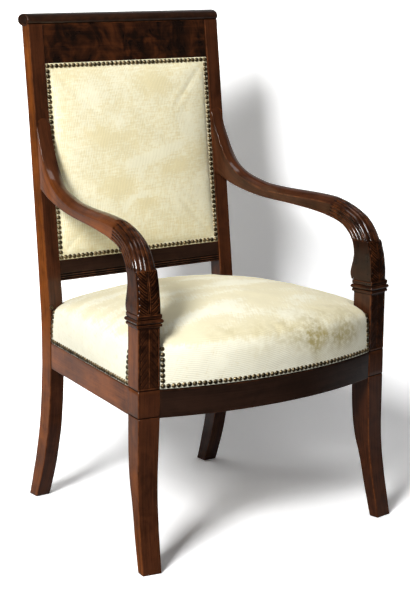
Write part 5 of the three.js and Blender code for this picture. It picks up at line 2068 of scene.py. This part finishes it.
def stage_material(name, colour, see_through):
    """Floor or backdrop: paler in sight than as a light on the chair, and dim beyond the studio's sweep."""
    material = bpy.data.materials.new(name)
    material.use_nodes = True
    tree = material.node_tree
    tree.nodes.clear()
    output = tree.nodes.new("ShaderNodeOutputMaterial")
    place = object_place(tree)
    away = add(tree, "ShaderNodeVectorMath", {0: place}, operation="LENGTH")
    near = rise(tree, away.outputs["Value"], PALE_REACH, 1.25 * PALE_REACH, GLOSS_SHARE, 0)
    reach = times(tree, near, rise(tree, how_far_behind(tree, place), -0.3, 0.3))
    pale = scaled(colour, STAGE_LIFT)
    dim = scaled(colour, STAGE_DIM)
    shader = add(tree, "ShaderNodeBsdfDiffuse", {"Color": shown(tree, reach, colour, pale, dim)})
    beyond = rise(tree, away.outputs["Value"], SHADE_REACH, 1.6 * SHADE_REACH)
    far = times(tree, seen_straight(tree), beyond)
    white = add(tree, "ShaderNodeEmission", {"Color": (1, 1, 1, 1), "Strength": 1.0})
    shader = add(tree, "ShaderNodeMixShader", {0: far, 1: shader.outputs[0], 2: white.outputs[0]})
    if see_through:
        behind = add(tree, "ShaderNodeNewGeometry").outputs["Backfacing"]
        clear = add(tree, "ShaderNodeBsdfTransparent")
        shader = add(tree, "ShaderNodeMixShader", {0: behind, 1: shader.outputs[0], 2: clear.outputs[0]})
    tree.links.new(shader.outputs[0], output.inputs["Surface"])
    return material


class FAUTEUIL_OT_stage(bpy.types.Operator):
    """Sets the floor, backdrop, lamps and camera"""
    bl_idname = "fauteuil.stage"
    bl_label = "Stage"

    def execute(self, context):
        scene = context.scene
        colour = scene.fauteuil_colours.floor
        self.floor(colour)
        self.backdrop(colour)
        for name, place, width, height, power in LAMPS:
            lamp(name, place, width, height, power)
        self.surroundings(scene)
        camera = bpy.data.cameras.new("camera")
        camera.lens = CAMERA_LENS
        camera.sensor_width = 36
        camera.clip_end = 100
        view = put_in_scene("camera", camera)
        turned = Matrix((CAMERA_RIGHT, CAMERA_UP, CAMERA_BACK)).transposed()
        view.matrix_world = Matrix.Translation(CAMERA_PLACE) @ turned.to_4x4()
        scene.camera = view
        scene.view_settings.view_transform = "Standard"
        return {"FINISHED"}

    def settle_stage(self, bm, name, material):
        made = object_of(bm, name)
        made.data.materials.append(material)
        return made

    def floor(self, colour):
        bm = bmesh.new()
        bmesh.ops.create_grid(bm, x_segments=2, y_segments=2, size=STAGE_REACH)
        self.settle_stage(bm, "floor", stage_material("floor", colour, False))

    def backdrop(self, colour):
        """A sheet that curves up from the floor behind the chair, seen only from its front."""
        ahead = Vector((-CAMERA_BACK.x, -CAMERA_BACK.y, 0)).normalized()
        aside = Vector((ahead.y, -ahead.x, 0))
        steps = 24
        bm = bmesh.new()
        bmesh.ops.create_grid(bm, x_segments=2, y_segments=steps + 2, size=1)
        for vert in bm.verts:
            row = round((vert.co.y + 1) / 2 * (steps + 2))
            if row == 0:
                reach, height = BACKDROP_FOOT - 0.3, -0.5 * MM
            elif row <= steps + 1:
                turn = math.pi / 2 * (row - 1) / steps
                reach = BACKDROP_FOOT + BACKDROP_CURVE * math.sin(turn)
                height = BACKDROP_CURVE * (1 - math.cos(turn)) + 0.2 * MM
            else:
                reach, height = BACKDROP_FOOT + BACKDROP_CURVE, BACKDROP_HEIGHT
            vert.co = ahead * reach + aside * vert.co.x * BACKDROP_HALF_WIDTH + Vector((0, 0, height))
        for face in bm.faces:
            face.smooth = True
            if face.normal.dot(ahead) > 0:
                face.normal_flip()
        bm.normal_update()
        made = self.settle_stage(bm, "backdrop", stage_material("backdrop", colour, True))
        made.visible_shadow = False

    def surroundings(self, scene):
        """White in sight, and a soft grey for the light it gives and for the room before the chair."""
        world = bpy.data.worlds.new("surroundings")
        scene.world = world
        world.use_nodes = True
        tree = world.node_tree
        shader = next(node for node in tree.nodes if node.type == "BACKGROUND")
        way = add(tree, "ShaderNodeTexCoord").outputs["Generated"]
        reach = rise(tree, how_far_behind(tree, way), 0.5, 0.9, 0, GLOSS_SHARE)
        colour = shown(tree, reach, SOFT_LIGHT, WHITE, DIM_ROOM)
        fill(tree, shader, {"Color": colour, "Strength": 1})


OPERATORS = (
    FAUTEUIL_OT_front_legs,
    FAUTEUIL_OT_rear_posts,
    FAUTEUIL_OT_arms,
    FAUTEUIL_OT_seat_rails,
    FAUTEUIL_OT_corner_blocks,
    FAUTEUIL_OT_back_members,
    FAUTEUIL_OT_crest_roll,
    FAUTEUIL_OT_seat_upholstery,
    FAUTEUIL_OT_back_upholstery,
    FAUTEUIL_OT_rear_lining,
    FAUTEUIL_OT_seat_nails,
    FAUTEUIL_OT_back_nails,
    FAUTEUIL_OT_stage,
)


class FAUTEUIL_PT_pieces(bpy.types.Panel):
    """The armchair's pieces, sizes and colours"""
    bl_idname = "FAUTEUIL_PT_pieces"
    bl_label = "Fauteuil"
    bl_space_type = "VIEW_3D"
    bl_region_type = "UI"
    bl_category = "Fauteuil"

    def draw(self, context):
        layout = self.layout
        for settings in (context.scene.fauteuil_sizes, context.scene.fauteuil_colours):
            for name in settings.__annotations__:
                layout.prop(settings, name)
        for operator in OPERATORS:
            layout.operator(operator.bl_idname)


CLASSES = (FauteuilSizes, FauteuilColours, *OPERATORS, FAUTEUIL_PT_pieces)


def register():
    for one in CLASSES:
        bpy.utils.register_class(one)
    bpy.types.Scene.fauteuil_sizes = PointerProperty(type=FauteuilSizes)
    bpy.types.Scene.fauteuil_colours = PointerProperty(type=FauteuilColours)


def unregister():
    del bpy.types.Scene.fauteuil_colours
    del bpy.types.Scene.fauteuil_sizes
    for one in reversed(CLASSES):
        bpy.utils.unregister_class(one)


def main():
    register()
    for operator in OPERATORS:
        group, name = operator.bl_idname.split(".")
        getattr(getattr(bpy.ops, group), name)()


if __name__ == "__main__":
    main()
